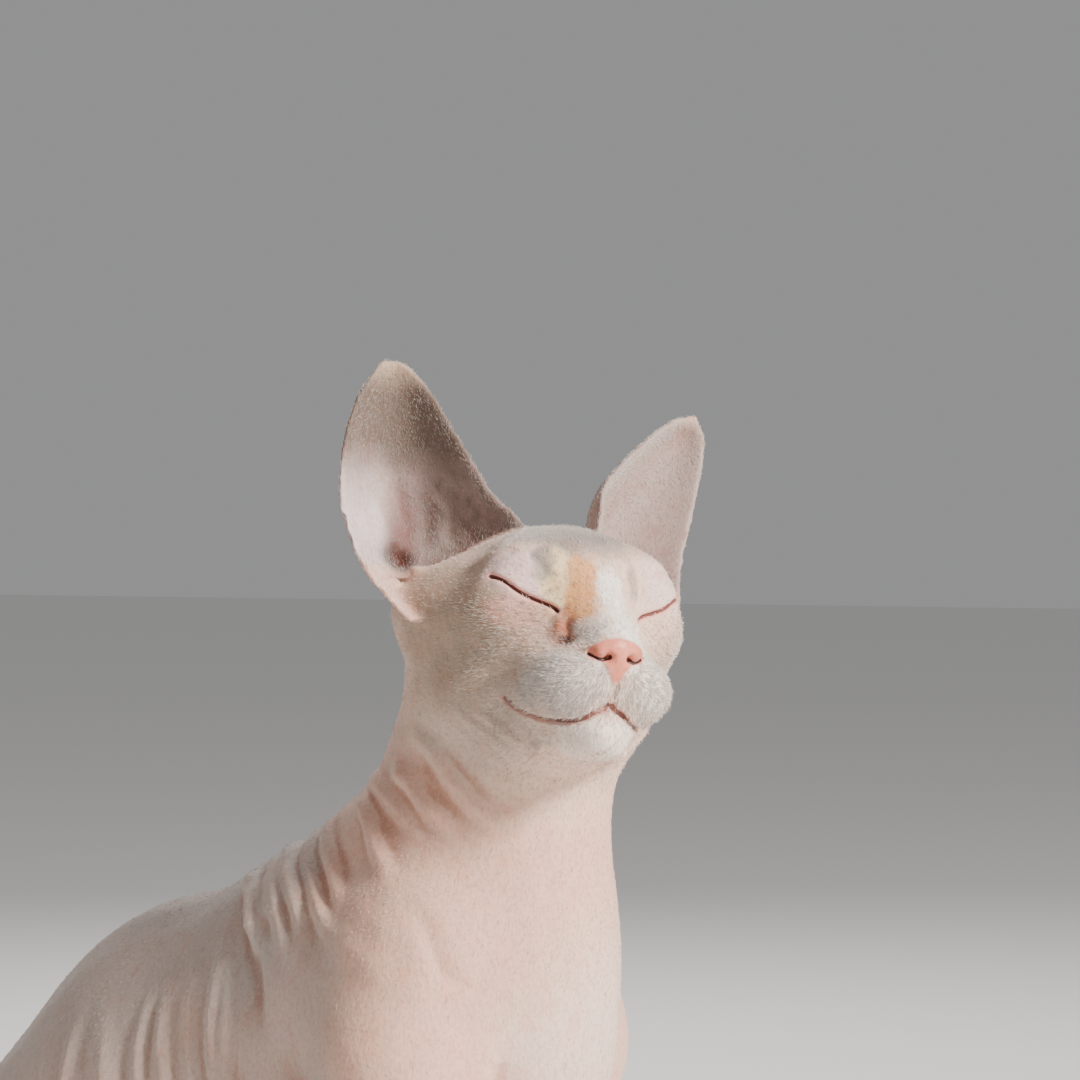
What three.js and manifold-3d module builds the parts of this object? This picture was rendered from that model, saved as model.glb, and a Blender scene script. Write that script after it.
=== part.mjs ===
// A sphynx cat, life size, sitting upright with its head raised and turned and its eyes closed.
// Lengths are in millimetres. The cat faces -Y, its left side is +X, and the floor is z = 0.
// The origin is on the floor, below the middle of the whole cat's bounding box.
import * as THREE from "three";
import { mergeVertices } from "three/addons/utils/BufferGeometryUtils.js";
import Module from "manifold-3d";

const wasm = await Module();
wasm.setup();

// Driving sizes
const SEAT_TO_SHOULDER = 150; // from the seat forward to the line of the forelegs
const BOX_MIDDLE = [15.02, -71.19]; // of the whole cat, from the middle of its seat
const GAP = 0.3; // between parts that touch
const HEAD_TURN = 30; // degrees towards the cat's right
const HEAD_RAISE = 11; // degrees, nose up
const HEAD_TILT = 7; // degrees, left ear down
const HEAD_PLACE = [-3, 46, 329]; // left, forward and up from the shoulder line on the floor
const NECK_FOLD = 3.2; // height of the collar folds
const FLANK_FOLD = 1.9; // height of the folds behind the shoulder
const EAR_THICK = 2.4;
const EYE_SLIT = 0.7;
const FOOT_TOP = 24; // the hind foot lies under this height, and the thigh above it

const radians = THREE.MathUtils.degToRad;
const lerp = THREE.MathUtils.lerp;
const smooth = THREE.MathUtils.smoothstep;

// A place on the cat: left of its middle, forward of its shoulder line, and up from the floor.
function at(left, forward, up) {
  return new THREE.Vector3(left, -forward - SEAT_TO_SHOULDER, up);
}

// A place or direction on the head, from the middle of the skull, as if it looked straight ahead.
function onHead(left, forward, up) {
  return new THREE.Vector3(left, -forward, up);
}

const headMatrix = new THREE.Matrix4().makeRotationFromEuler(
  new THREE.Euler(radians(-HEAD_RAISE), radians(HEAD_TILT), radians(-HEAD_TURN), "ZXY"),
);
headMatrix.setPosition(at(...HEAD_PLACE));
const headInverse = headMatrix.clone().invert();

// Masses: each gives the distance from a point to its surface, negative inside

// An egg-shaped mass with half sizes across, along and up, leaning nose up by some degrees.
function egg(centre, [across, along, up], lean = 0) {
  const sine = Math.sin(radians(lean));
  const cosine = Math.cos(radians(lean));
  return (p) => {
    const x = (p.x - centre.x) / across;
    const dy = p.y - centre.y;
    const dz = p.z - centre.z;
    const y = (dy * cosine - dz * sine) / along;
    const z = (dy * sine + dz * cosine) / up;
    const near = Math.hypot(x, y, z);
    const steep = Math.hypot(x / across, y / along, z / up);
    return steep < 1e-9 ? -Math.min(across, along, up) : (near * (near - 1)) / steep;
  };
}

// A tapered mass with round ends, narrowed from side to side.
function limb(from, to, fromRadius, toRadius, narrow = 1) {
  const axis = to.clone().sub(from);
  axis.x /= narrow;
  const length2 = axis.lengthSq();
  const taper = fromRadius - toRadius;
  const a2 = length2 - taper * taper;
  const away = new THREE.Vector3();
  const across = new THREE.Vector3();
  return (p) => {
    away.copy(p).sub(from);
    away.x /= narrow;
    const y = away.dot(axis);
    const z = y - length2;
    across.copy(away).multiplyScalar(length2).addScaledVector(axis, -y);
    const x2 = across.lengthSq();
    const k = Math.sign(taper) * taper * taper * x2;
    if (Math.sign(z) * a2 * z * z * length2 > k)
      return Math.sqrt(x2 + z * z * length2) / length2 - toRadius;
    if (Math.sign(y) * a2 * y * y * length2 < k)
      return Math.sqrt(x2 + y * y * length2) / length2 - fromRadius;
    return (Math.sqrt((x2 * a2) / length2) + y * taper) / length2 - fromRadius;
  };
}

// Masses run together, each with its own softness where it meets the ones before it.
function together(masses) {
  return (p) =>
    masses.reduce((distance, [mass, soft]) => {
      const other = mass(p);
      const blend = Math.max(soft - Math.abs(distance - other), 0) / soft;
      return Math.min(distance, other) - (blend * blend * soft) / 4;
    }, 1e9);
}

const SIDES = { right: -1, left: 1 };
const bothSides = (make) => Object.values(SIDES).flatMap((side) => make(side));

// The head, in its own frame
const skull = together([
  [egg(onHead(0, -4, 6), [36, 41, 31]), 4],
  [egg(onHead(0, 15, 14), [25, 20, 18]), 10],
  [limb(onHead(0, 12, -10), onHead(0, 33, -16), 22, 13), 10],
  [limb(onHead(0, 24, 13), onHead(0, 43.5, -6), 11, 7.5), 9],
  ...bothSides((s) => [
    [egg(onHead(s * 22, -6, -13), [15, 22, 18]), 10],
    [egg(onHead(s * 28, 12, 5), [10, 14, 9.5]), 8],
    [egg(onHead(s * 20.5, 20.5, 10.5), [12, 11, 9.5]), 5],
    [egg(onHead(s * 17, 24, 20), [11, 8, 6]), 8],
    [egg(onHead(s * 35, -9, 9), [12, 15, 13]), 12],
    [egg(onHead(s * 14, 31, -18), [9, 13, 9.5]), 8],
    [egg(onHead(s * 9.6, 39.5, -18.5), [11.2, 11, 9.6]), 5],
    [limb(onHead(s * 5, 32, -31), onHead(s * 17, -4, -25), 7, 10), 6],
  ]),
  [egg(onHead(0, 37, -32.5), [9.5, 10.5, 7.5]), 3.5],
  [egg(onHead(0, 6, -24), [17, 24, 13]), 10],
  [egg(onHead(0, 46.5, -9), [8, 6, 5.2]), 2.5],
]);

const onSkull = new THREE.Vector3();
const headMass = (p) => skull(onSkull.copy(p).applyMatrix4(headInverse));

// The body and its limbs
const trunk = [
  [limb(at(-2, 33, 316), at(0, 18, 256), 32, 43, 0.86), 5],
  [limb(at(0, -14, 262), at(0, -46, 226), 17, 30), 16],
  [egg(at(0, 7, 212), [46, 56, 60]), 24],
  [egg(at(0, -28, 212), [40, 44, 44]), 24],
  [egg(at(0, -60, 182), [52, 76, 64]), 26],
  [egg(at(0, -98, 180), [42, 46, 63]), 18],
  [egg(at(0, -104, 152), [54, 72, 72]), 22],
  [egg(at(0, -95, 95), [46, 60, 66]), 30],
  [egg(at(0, -150, 98), [58, 60, 86]), 26],
  [limb(at(0, -150, 40), at(0, -190, 30), 46, 26), 20],
];

const shoulder = (s) => [
  [limb(at(s * 27, -30, 238), at(s * 40, 14, 212), 14, 22), 16],
  [egg(at(s * 33, 19, 234), [19, 24, 26]), 14],
];

const foreleg = (s) => [
  [limb(at(s * 40, 20, 200), at(s * 44, -10, 142), 23, 19), 12],
  [limb(at(s * 44, -8, 142), at(s * 31, 10, 38), 18.5, 11), 12],
  [limb(at(s * 31, 10, 38), at(s * 30, 22, 13), 11, 12.5, 1.1), 6],
  [egg(at(s * 30, 31, 9), [14.5, 15, 10]), 8],
];

const thigh = (s) => [
  [egg(at(s * 47, -112, 92), [25, 64, 45], -17), 16],
  [limb(at(s * 58, -74, 78), at(s * 50, -160, 30), 25, 15), 12],
];

const hindfoot = (s) => [
  [limb(at(s * 50, -166, 13), at(s * 55, -84, 10.2), 14, 11), 10],
  [egg(at(s * 57, -66, 8.8), [14, 20, 9.8]), 10],
];

const body = [...trunk, ...bothSides(shoulder), ...bothSides(thigh), [headMass, 12]];
const bodyMass = together(body);
const wholeCat = together([...body, ...bothSides(foreleg)]);

// Surfaces

const curveThrough = (points) => new THREE.CatmullRomCurve3(points, false, "centripetal");
const evenly = (count, from = 0, to = 1) =>
  Array.from({ length: count }, (_, i) => lerp(from, to, i / (count - 1)));

// Where a ray from inside the mass first leaves it.
function exitAlong(mass, from, direction, reach) {
  const STEP = 2;
  const HALVINGS = 12;
  const point = new THREE.Vector3();
  const distanceAt = (t) => mass(point.copy(from).addScaledVector(direction, t));
  let inside = 0;
  let outside = STEP;
  while (outside < reach && distanceAt(outside) < 0) {
    inside = outside;
    outside += STEP;
  }
  for (let i = 0; i < HALVINGS; i++) {
    const middle = (inside + outside) / 2;
    if (distanceAt(middle) < 0) inside = middle;
    else outside = middle;
  }
  return from.clone().addScaledVector(direction, (inside + outside) / 2);
}

// A closed mesh from rings of points, all with as many points, ended by two poles.
function closedRings(rings, firstPole, lastPole) {
  const sides = rings[0].length;
  const points = [firstPole, ...rings.flat(), lastPole];
  const triangles = [];
  const last = points.length - 1;
  const ringAt = (i, j) => 1 + i * sides + (j % sides);
  for (let j = 0; j < sides; j++) {
    triangles.push(0, ringAt(0, j + 1), ringAt(0, j));
    triangles.push(last, ringAt(rings.length - 1, j), ringAt(rings.length - 1, j + 1));
    for (let i = 0; i + 1 < rings.length; i++) {
      const corners = [ringAt(i, j), ringAt(i, j + 1), ringAt(i + 1, j), ringAt(i + 1, j + 1)];
      triangles.push(corners[0], corners[1], corners[2]);
      triangles.push(corners[1], corners[3], corners[2]);
    }
  }
  return new THREE.BufferGeometry().setFromPoints(points).setIndex(triangles);
}

// A sphere's vertices pushed out to the skin along rays from a centre inside, closest together
// round the pole.
function roundSurface(mass, centre, { pole, round, latitudes, closer }, reach, matrix = null) {
  const sphere = new THREE.SphereGeometry(1, round, latitudes);
  const turn = new THREE.Quaternion().setFromUnitVectors(new THREE.Vector3(0, 1, 0), pole);
  const position = sphere.getAttribute("position");
  const ray = new THREE.Vector3();
  for (let i = 0; i < position.count; i++) {
    ray.fromBufferAttribute(position, i);
    const polar = Math.acos(THREE.MathUtils.clamp(ray.y, -1, 1));
    const around = Math.atan2(ray.z, ray.x);
    const moved = polar - closer * Math.sin(polar);
    const across = Math.sin(moved);
    ray.set(across * Math.cos(around), Math.cos(moved), across * Math.sin(around));
    const point = exitAlong(mass, centre, ray.applyQuaternion(turn), reach);
    position.setXYZ(i, point.x, point.y, point.z);
  }
  return solid(sphere, matrix);
}

// A round tube along a path, with its radius running through a list, closed by short points.
function tube(path, radii, round, count, upright, matrix = null) {
  const radiusLine = curveThrough(radii.map((radius, i) => new THREE.Vector3(radius, i, 0)));
  const rings = evenly(count).map((t) => {
    const centre = path.getPoint(t);
    const across = path.getTangent(t).cross(upright).normalize();
    const up = across.clone().cross(path.getTangent(t)).normalize();
    const radius = radiusLine.getPoint(t).x;
    return Array.from({ length: round }, (_, j) => {
      const angle = (2 * Math.PI * j) / round;
      const offset = across.clone().multiplyScalar(Math.cos(angle) * radius);
      return offset.addScaledVector(up, Math.sin(angle) * radius).add(centre);
    });
  });
  const endPoint = (t, away, radius) =>
    path.getPoint(t).addScaledVector(path.getTangent(t), away * radius * 0.8);
  const first = endPoint(0, -1, radii[0]);
  const last = endPoint(1, 1, radii[radii.length - 1]);
  return solid(closedRings(rings, first, last), matrix);
}

// A closed three.js geometry as a solid that can be joined and cut.
function solid(geometry, matrix = null) {
  const bare = new THREE.BufferGeometry();
  bare.setAttribute("position", geometry.getAttribute("position").clone());
  bare.setIndex(geometry.index ? geometry.index.clone() : null);
  if (matrix) bare.applyMatrix4(matrix);
  const merged = mergeVertices(bare, 1e-3);
  const mesh = {
    numProp: 3,
    vertProperties: new Float32Array(merged.attributes.position.array),
    triVerts: new Uint32Array(merged.index.array),
  };
  const made = new wasm.Manifold(new wasm.Mesh(mesh));
  if (made.volume() > 0) return made;
  for (let i = 0; i < mesh.triVerts.length; i += 3)
    [mesh.triVerts[i], mesh.triVerts[i + 1]] = [mesh.triVerts[i + 1], mesh.triVerts[i]];
  return new wasm.Manifold(new wasm.Mesh(mesh));
}

// The largest closed body of a solid, without loose scraps.
function largest(shape) {
  return shape.decompose().reduce((a, b) => (a.volume() > b.volume() ? a : b));
}

// Everything on the side of a plane that its normal points away from.
function behindPlane(point, normal) {
  const SIZE = 900;
  const turn = new THREE.Quaternion().setFromUnitVectors(
    new THREE.Vector3(0, 0, 1),
    normal.clone().normalize(),
  );
  const middle = point.clone().addScaledVector(normal.clone().normalize(), -SIZE / 2);
  return solid(
    new THREE.BoxGeometry(SIZE, SIZE, SIZE),
    new THREE.Matrix4().compose(middle, turn, new THREE.Vector3(1, 1, 1)),
  );
}

// Both sides of a planar cut, a gap apart: first what lies behind the plane, then what lies before it.
function cutInTwo(shape, point, normal, gap = GAP) {
  const unit = normal.clone().normalize();
  const back = behindPlane(point.clone().addScaledVector(unit, -gap / 2), unit);
  const front = behindPlane(point.clone().addScaledVector(unit, gap / 2), unit.clone().negate());
  return [shape.intersect(back), shape.intersect(front)];
}

function middleOfOutline(outline) {
  const sum = outline.reduce(([a, b], [across, up]) => [a + across, b + up], [0, 0]);
  return sum.map((total) => total / outline.length);
}

// A block with a smooth outline in the side view, between two distances from the middle of the cat.
function sideBlock(outline, side, inner, outer, grow = 0) {
  const centre = middleOfOutline(outline);
  const grown = outline.map(([f, u]) => {
    const away = Math.hypot(f - centre[0], u - centre[1]);
    return new THREE.Vector2(f, u).addScaledVector(
      new THREE.Vector2(f - centre[0], u - centre[1]),
      grow / away,
    );
  });
  const curve = new THREE.SplineCurve([...grown, grown[0]]);
  const shape = new THREE.Shape(curve.getPoints(64).slice(0, -1));
  const block = new THREE.ExtrudeGeometry(shape, {
    depth: outer - inner + grow * 2,
    bevelEnabled: false,
  });
  // The shape's first axis becomes forward, its second up, and its depth goes sideways.
  const place = new THREE.Matrix4().makeBasis(
    new THREE.Vector3(0, -1, 0),
    new THREE.Vector3(0, 0, 1),
    new THREE.Vector3(side, 0, 0),
  );
  place.setPosition(at(side * (inner - grow), 0, 0));
  return solid(block, place);
}

// Trunk: neck, chest, back, rump, shoulders and thighs in one skin

// Each station is where a plane across the body meets the back line and the front line, in the
// side view, as forward and up, with the turn of the plane about the upright in degrees.
const STATIONS = [
  { back: [-6, 345], front: [58, 300], turn: -24 },
  { back: [-24, 316], front: [62, 268], turn: -18 },
  { back: [-34, 292], front: [66, 246], turn: -12 },
  { back: [-52, 272], front: [70, 222], turn: -5 },
  { back: [-70, 262], front: [74, 186], turn: 0 },
  { back: [-84, 260], front: [62, 138], turn: 0 },
  { back: [-98, 258], front: [20, 104], turn: 0 },
  { back: [-116, 252], front: [-40, 70], turn: 0 },
  { back: [-138, 236], front: [-92, 20], turn: 0 },
  { back: [-160, 208], front: [-134, -4], turn: 0 },
  { back: [-182, 176], front: [-164, -6], turn: 0 },
  { back: [-200, 130], front: [-186, 0], turn: 0 },
  { back: [-214, 84], front: [-203, 6], turn: 0 },
];

const backLine = curveThrough(STATIONS.map(({ back }) => at(0, ...back)));
const frontLine = curveThrough(STATIONS.map(({ front }) => at(0, ...front)));
const turnLine = curveThrough(STATIONS.map(({ turn }, i) => new THREE.Vector3(turn, i, 0)));

// How far the skin stands out in folds: collars on the neck and slanting folds on the flank.
// t runs down the trunk, and angle is 0 on the back, a quarter turn on the left, a half in front.
const NECK_FOLDS = { from: 0.13, to: 0.36, count: 6 };
const FLANK_FOLDS = { from: 0.5, to: 0.72, count: 7 };

function foldHeight(t, angle) {
  const toRight = -Math.sin(angle);
  const toFront = -Math.cos(angle);
  const wave = ({ from, to, count }) => {
    if (t <= from || t >= to) return 0;
    const along = (t - from) / (to - from);
    return Math.abs(Math.sin(Math.PI * count * along)) * Math.sin(Math.PI * along) ** 0.4;
  };
  const collar = smooth(0.55 - toFront + 0.5 * Math.max(toRight, 0), 0, 0.7);
  const flank = smooth(Math.abs(toRight), 0.45, 0.85);
  return NECK_FOLD * wave(NECK_FOLDS) * collar + FLANK_FOLD * wave(FLANK_FOLDS) * flank;
}

// The stations of the rings, closer together where there are folds.
function ringTimes() {
  const RINGS_A_FOLD = 3;
  const times = [];
  const spread = (from, to, count) => {
    for (let i = 0; i < count; i++) times.push(lerp(from, to, i / count));
  };
  spread(0, NECK_FOLDS.from, 3);
  spread(NECK_FOLDS.from, NECK_FOLDS.to, NECK_FOLDS.count * RINGS_A_FOLD);
  spread(NECK_FOLDS.to, FLANK_FOLDS.from, 5);
  spread(FLANK_FOLDS.from, FLANK_FOLDS.to, FLANK_FOLDS.count * RINGS_A_FOLD);
  spread(FLANK_FOLDS.to, 1, 9);
  return [...times, 1];
}

// How far from the trunk's middle its skin can lie, to the side and behind
const BODY_REACH = 150;
const RUMP_REACH = 60;

function trunkSurface() {
  const ROUND = 28;
  const CENTRE = 0.44; // of the way from the back line to the front line
  const rings = ringTimes().map((t) => {
    const back = backLine.getPoint(t);
    const front = frontLine.getPoint(t);
    const centre = back.clone().lerp(front, CENTRE);
    const upright = new THREE.Vector3(0, 0, 1);
    const turn = radians(turnLine.getPoint(t).x);
    const toBack = back.clone().sub(front).normalize().applyAxisAngle(upright, turn);
    const toLeft = new THREE.Vector3(1, 0, 0).applyAxisAngle(upright, turn);
    const ring = [];
    for (let j = 0; j < ROUND; j++) {
      const angle = (2 * Math.PI * j) / ROUND;
      const ray = toBack.clone().multiplyScalar(Math.cos(angle));
      ray.addScaledVector(toLeft, Math.sin(angle));
      const point = exitAlong(bodyMass, centre, ray, BODY_REACH);
      ring.push(point.addScaledVector(ray, foldHeight(t, angle)));
    }
    return ring;
  });
  const middleOf = (ring) =>
    ring.reduce((sum, p) => sum.add(p), new THREE.Vector3()).divideScalar(ring.length);
  const first = middleOf(rings[0]);
  const last = middleOf(rings[rings.length - 1]);
  const rear = exitAlong(bodyMass, last, new THREE.Vector3(0, 1, 0), RUMP_REACH);
  return solid(closedRings(rings, first, rear));
}

// Limbs below the trunk: rings along a line, each in the plane that its station names

function limbSurface(stations, mass, round, times) {
  const centres = curveThrough(stations.map(({ centre }) => centre));
  const leans = curveThrough(stations.map(({ lean }, i) => new THREE.Vector3(lean, i, 0)));
  const reach = 70;
  const rings = times.map((t) => {
    const centre = centres.getPoint(t);
    const lean = radians(leans.getPoint(t).x);
    const ahead = new THREE.Vector3(0, -Math.cos(lean), Math.sin(lean));
    const ring = [];
    for (let j = 0; j < round; j++) {
      const angle = (2 * Math.PI * j) / round;
      const ray = ahead.clone().multiplyScalar(Math.cos(angle));
      ray.x = Math.sin(angle);
      ring.push(exitAlong(mass, centre, ray, reach));
    }
    return ring;
  });
  const along = (t) => centres.getTangent(t);
  const first = exitAlong(mass, centres.getPoint(0), along(0).negate(), 20);
  const last = exitAlong(mass, centres.getPoint(1), along(1), 30);
  return solid(closedRings(rings, first, last));
}

const aboveFloor = behindPlane(new THREE.Vector3(), new THREE.Vector3(0, 0, -1));

// Forearm and paw: the rings turn from level, round the forearm, to upright, across the paw.
const ELBOW = 138;
const WRIST = 36;

function forelegSurface(side, grow = 0) {
  const stations = [
    { centre: at(side * 44.5, -12, ELBOW + 12), lean: 0 },
    { centre: at(side * 41, -4, 110), lean: 5 },
    { centre: at(side * 36, 3, 72), lean: 8 },
    { centre: at(side * 31, 10, 40), lean: 14 },
    { centre: at(side * 30, 19, 20), lean: 50 },
    { centre: at(side * 30, 30, 10), lean: 84 },
    { centre: at(side * 30, 40, 9), lean: 90 },
  ];
  const alone = together(foreleg(side));
  const mass = (p) => alone(p) - grow;
  return limbSurface(stations, mass, 14, evenly(17)).intersect(aboveFloor);
}

function hindfootSurface(side) {
  const stations = [
    { centre: at(side * 50, -172, 14), lean: 90 },
    { centre: at(side * 51, -150, 13), lean: 90 },
    { centre: at(side * 54, -110, 11), lean: 90 },
    { centre: at(side * 57, -75, 10), lean: 90 },
    { centre: at(side * 57, -54, 8), lean: 90 },
  ];
  const ROOM_ABOVE = 14;
  const alone = together([...thigh(side), ...hindfoot(side)]);
  const clipped = (p) => Math.max(alone(p), p.z - FOOT_TOP - ROOM_ABOVE);
  return limbSurface(stations, clipped, 14, evenly(12)).intersect(aboveFloor);
}

// Four toes of a paw, joined on: across and forward of the middle toes' roots
const TOES = [
  [-1.5, -4.5],
  [-0.5, 0],
  [0.5, 0],
  [1.5, -4.5],
];

function withToes(paw, left, forward, up, apart, size) {
  const toes = TOES.map(([across, behind]) => {
    const toe = new THREE.SphereGeometry(1, 8, 6).rotateX(Math.PI / 2);
    toe.scale(...size);
    const middle = at(left + across * apart, forward + behind, up);
    return solid(toe, new THREE.Matrix4().setPosition(middle));
  });
  return toes.reduce((sum, toe) => sum.add(toe), paw).intersect(aboveFloor);
}

// Tail: it leaves the rump at the floor and lies round the left side
const TAIL_RADII = [13, 10.5, 9, 8, 7, 6, 5, 3.6];
const TAIL_PATH = [
  at(0, -186, 30),
  at(6, -222, 19),
  at(34, -246, 9.6),
  at(70, -236, 7.6),
  at(94, -202, 6.6),
  at(104, -158, 5.6),
  at(106, -112, 4.6),
  at(98, -70, 3.2),
];

function tailSurface() {
  const path = curveThrough(TAIL_PATH);
  return tube(path, TAIL_RADII, 8, 26, onHead(0, 0, 1)).intersect(aboveFloor);
}

// Head: a sphere's vertices pushed out to the skin, closest together on the face
const HEAD_CENTRE = onHead(0, 2, -4);
const FACE_POLE = onHead(0, 1, -0.28).normalize();
const HEAD_REACH = 70;

function headSurface(grow) {
  const onCat = new THREE.Vector3();
  const mass = (p) => wholeCat(onCat.copy(p).applyMatrix4(headMatrix)) - grow;
  const grid = { pole: FACE_POLE, round: 38, latitudes: 30, closer: 0.42 };
  return roundSurface(mass, HEAD_CENTRE, grid, HEAD_REACH, headMatrix);
}

// Ears: a curved shell between the inner and the outer edge, cupped away from the opening
const EARS = {
  right: {
    inner: [
      [-11, 9, 29],
      [-13, 5, 38.5],
      [-18.5, 1, 44],
      [-24, -2, 53],
      [-33, -5, 68],
      [-39.5, -8, 79],
      [-46, -10, 86],
    ],
    outer: [
      [-46, 4, 2],
      [-55, 0, 12],
      [-61, -7, 24],
      [-64.5, -12, 40],
      [-64, -13, 56],
      [-61, -12, 72],
      [-53, -10, 86.5],
    ],
  },
  left: {
    inner: [
      [9, 10, 28],
      [13, 8, 38],
      [15.5, 5, 51],
      [22, 3, 59],
      [30, 0, 67],
      [44.8, -6, 79],
      [52, -9, 81.5],
    ],
    outer: [
      [40, 5, 4],
      [45, 0, 16],
      [47, -4, 30],
      [52, -8, 45.5],
      [56, -10, 60.3],
      [57, -9, 74.5],
      [54, -9, 82],
    ],
  },
};
const EAR_CUP = [17, 20, 20, 17, 12, 6, 1];

function earSurface(ear, side, thick) {
  const ACROSS = 10;
  const UP = 13;
  const inner = curveThrough(ear.inner.map((place) => onHead(...place)));
  const outer = curveThrough(ear.outer.map((place) => onHead(...place)));
  const cup = curveThrough(EAR_CUP.map((depth, i) => new THREE.Vector3(depth, i, 0)));
  const middlePoint = (u, v) => {
    const t = smooth(u, 0, 1) * 0.25 + u * 0.75;
    const point = inner.getPoint(t).lerp(outer.getPoint(t), v);
    const chord = outer.getPoint(t).sub(inner.getPoint(t));
    const backward = chord.cross(onHead(0, 0, -side)).normalize();
    const bow = 1 - Math.abs(2 * v - 1) ** 2.2;
    return point.addScaledVector(backward, cup.getPoint(t).x * bow);
  };
  const normalAt = (u, v) => {
    const STEP = 0.01;
    const du = middlePoint(Math.min(u + STEP, 1), v).sub(middlePoint(Math.max(u - STEP, 0), v));
    const dv = middlePoint(u, Math.min(v + STEP, 1)).sub(middlePoint(u, Math.max(v - STEP, 0)));
    return du.cross(dv).normalize().multiplyScalar(side);
  };
  // Each row goes across the front face and back across the rear face, which closes the edges.
  const rows = evenly(UP, 0, 0.985).map((u) => {
    const row = [];
    for (let i = 0; i <= ACROSS; i++) {
      const v = i / ACROSS;
      row.push(middlePoint(u, v).addScaledVector(normalAt(u, v), thick / 2));
    }
    for (let i = ACROSS; i >= 0; i--) {
      const v = i / ACROSS;
      row.push(middlePoint(u, v).addScaledVector(normalAt(u, v), -thick / 2));
    }
    return row;
  });
  const centreOf = (row) =>
    row.reduce((sum, p) => sum.add(p), new THREE.Vector3()).divideScalar(row.length);
  const tip = centreOf(rows[UP - 1]).add(onHead(side * 0.6, -0.3, 1.2));
  return solid(closedRings(rows, middlePoint(0, 0.5), tip), headMatrix);
}

// Put together
const cat = new THREE.Group();
cat.name = "sphynx_cat";

const skin = (colour, roughness) =>
  new THREE.MeshStandardMaterial({ color: colour, roughness, metalness: 0 });
const MATERIALS = {
  skin: skin(0xd9bfae, 0.6),
  ear: skin(0xb89a88, 0.6),
  nose: skin(0xd0745a, 0.45),
};

function addNode(name, shape, material) {
  const kept = largest(shape);
  const { numProp, vertProperties, triVerts } = kept.getMesh();
  const points = new Float32Array((vertProperties.length / numProp) * 3);
  for (let i = 0; i * numProp < vertProperties.length; i++)
    points.set(vertProperties.subarray(i * numProp, i * numProp + 3), i * 3);
  const geometry = new THREE.BufferGeometry();
  geometry.setAttribute("position", new THREE.BufferAttribute(points, 3));
  geometry.setIndex(new THREE.BufferAttribute(new Uint32Array(triVerts), 1));
  geometry.computeVertexNormals();
  const mesh = new THREE.Mesh(geometry, material);
  mesh.name = name;
  cat.add(mesh);
}

const NECK_TOP = { point: onHead(0, -17, -18), normal: onHead(0, 0.72, 0.69) };
const NECK_BASE = { point: at(0, 8, 246), normal: onHead(0, 0.3, 0.95) };
const TAIL_BASE = { point: at(1, -203, 26), normal: onHead(0.1, -0.92, -0.36) };

const neckTopPoint = NECK_TOP.point.clone().applyMatrix4(headMatrix);
const neckTopNormal = NECK_TOP.normal.clone().transformDirection(headMatrix);

let [, head] = cutInTwo(headSurface(0), neckTopPoint, neckTopNormal);

// The mouth: a groove between the lips from corner to corner, and one up to the nose
const skinAt = (place) => {
  const MOUTH_CORE = onHead(0, 16, -22);
  const ray = onHead(...place).sub(MOUTH_CORE).normalize();
  return exitAlong(skull, MOUTH_CORE, ray, HEAD_REACH);
};
const MOUTH_LINE = [
  [0, 50, -27],
  [4, 49, -29.5],
  [9, 46, -30.5],
  [14, 41, -29],
  [19, 34, -26.5],
  [23, 26, -24.5],
  [25, 19, -25.5],
];
const mirrored = ([left, forward, up]) => [-left, forward, up];
const mouthPath = curveThrough(
  [...MOUTH_LINE.slice(1).map(mirrored).reverse(), ...MOUTH_LINE].map(skinAt),
);
const MOUTH_RADII = [0.5, 1.1, 1.2, 1.2, 1.2, 1.1, 0.5];
head = head.subtract(tube(mouthPath, MOUTH_RADII, 5, 22, onHead(0, 0, 1), headMatrix));
const philtrumPath = curveThrough([[0, 51, -17], [0, 51, -22], [0, 50, -27]].map(skinAt));
head = head.subtract(tube(philtrumPath, [0.9, 0.9, 1], 6, 5, onHead(0, 1, 0), headMatrix));

// The nose leather, with its nostrils
const NOSE_OUTLINE = [
  [0, -3.2],
  [5, -3.8],
  [8.3, -6.5],
  [8, -9.5],
  [4.6, -13.5],
  [1.6, -17.5],
];
function frontBlock(outline, from, depth, grow, matrix) {
  const centre = middleOfOutline(outline);
  const grown = outline.map(([l, u]) => {
    const away = new THREE.Vector2(l - centre[0], u - centre[1]);
    return away.setLength(away.length() + grow).add(new THREE.Vector2(...centre));
  });
  const block = new THREE.ExtrudeGeometry(new THREE.Shape(grown), { depth, bevelEnabled: false });
  // The shape's depth runs forward, from its distance ahead of the middle of the skull.
  const place = new THREE.Matrix4().makeRotationX(Math.PI / 2);
  place.setPosition(onHead(0, from, 0));
  return solid(block, matrix.clone().multiply(place));
}
const noseOutline = [...NOSE_OUTLINE, ...NOSE_OUTLINE.slice(1).map(([l, u]) => [-l, u]).reverse()];
let nose = head.intersect(frontBlock(noseOutline, 44, 20, 0, headMatrix));
head = head.subtract(frontBlock(noseOutline, 44 - GAP, 20, GAP, headMatrix));
for (const side of Object.values(SIDES)) {
  const nostril = curveThrough(
    [[2.6, 53.5, -11.8], [4.6, 52.5, -11.6], [6.6, 49.5, -9.8]].map(([l, f, u]) => onHead(side * l, f, u)),
  );
  nose = nose.subtract(tube(nostril, [1.3, 1.6, 0.9], 6, 5, onHead(0, 0, 1), headMatrix));
}
addNode("nose", nose, MATERIALS.nose);

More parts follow.
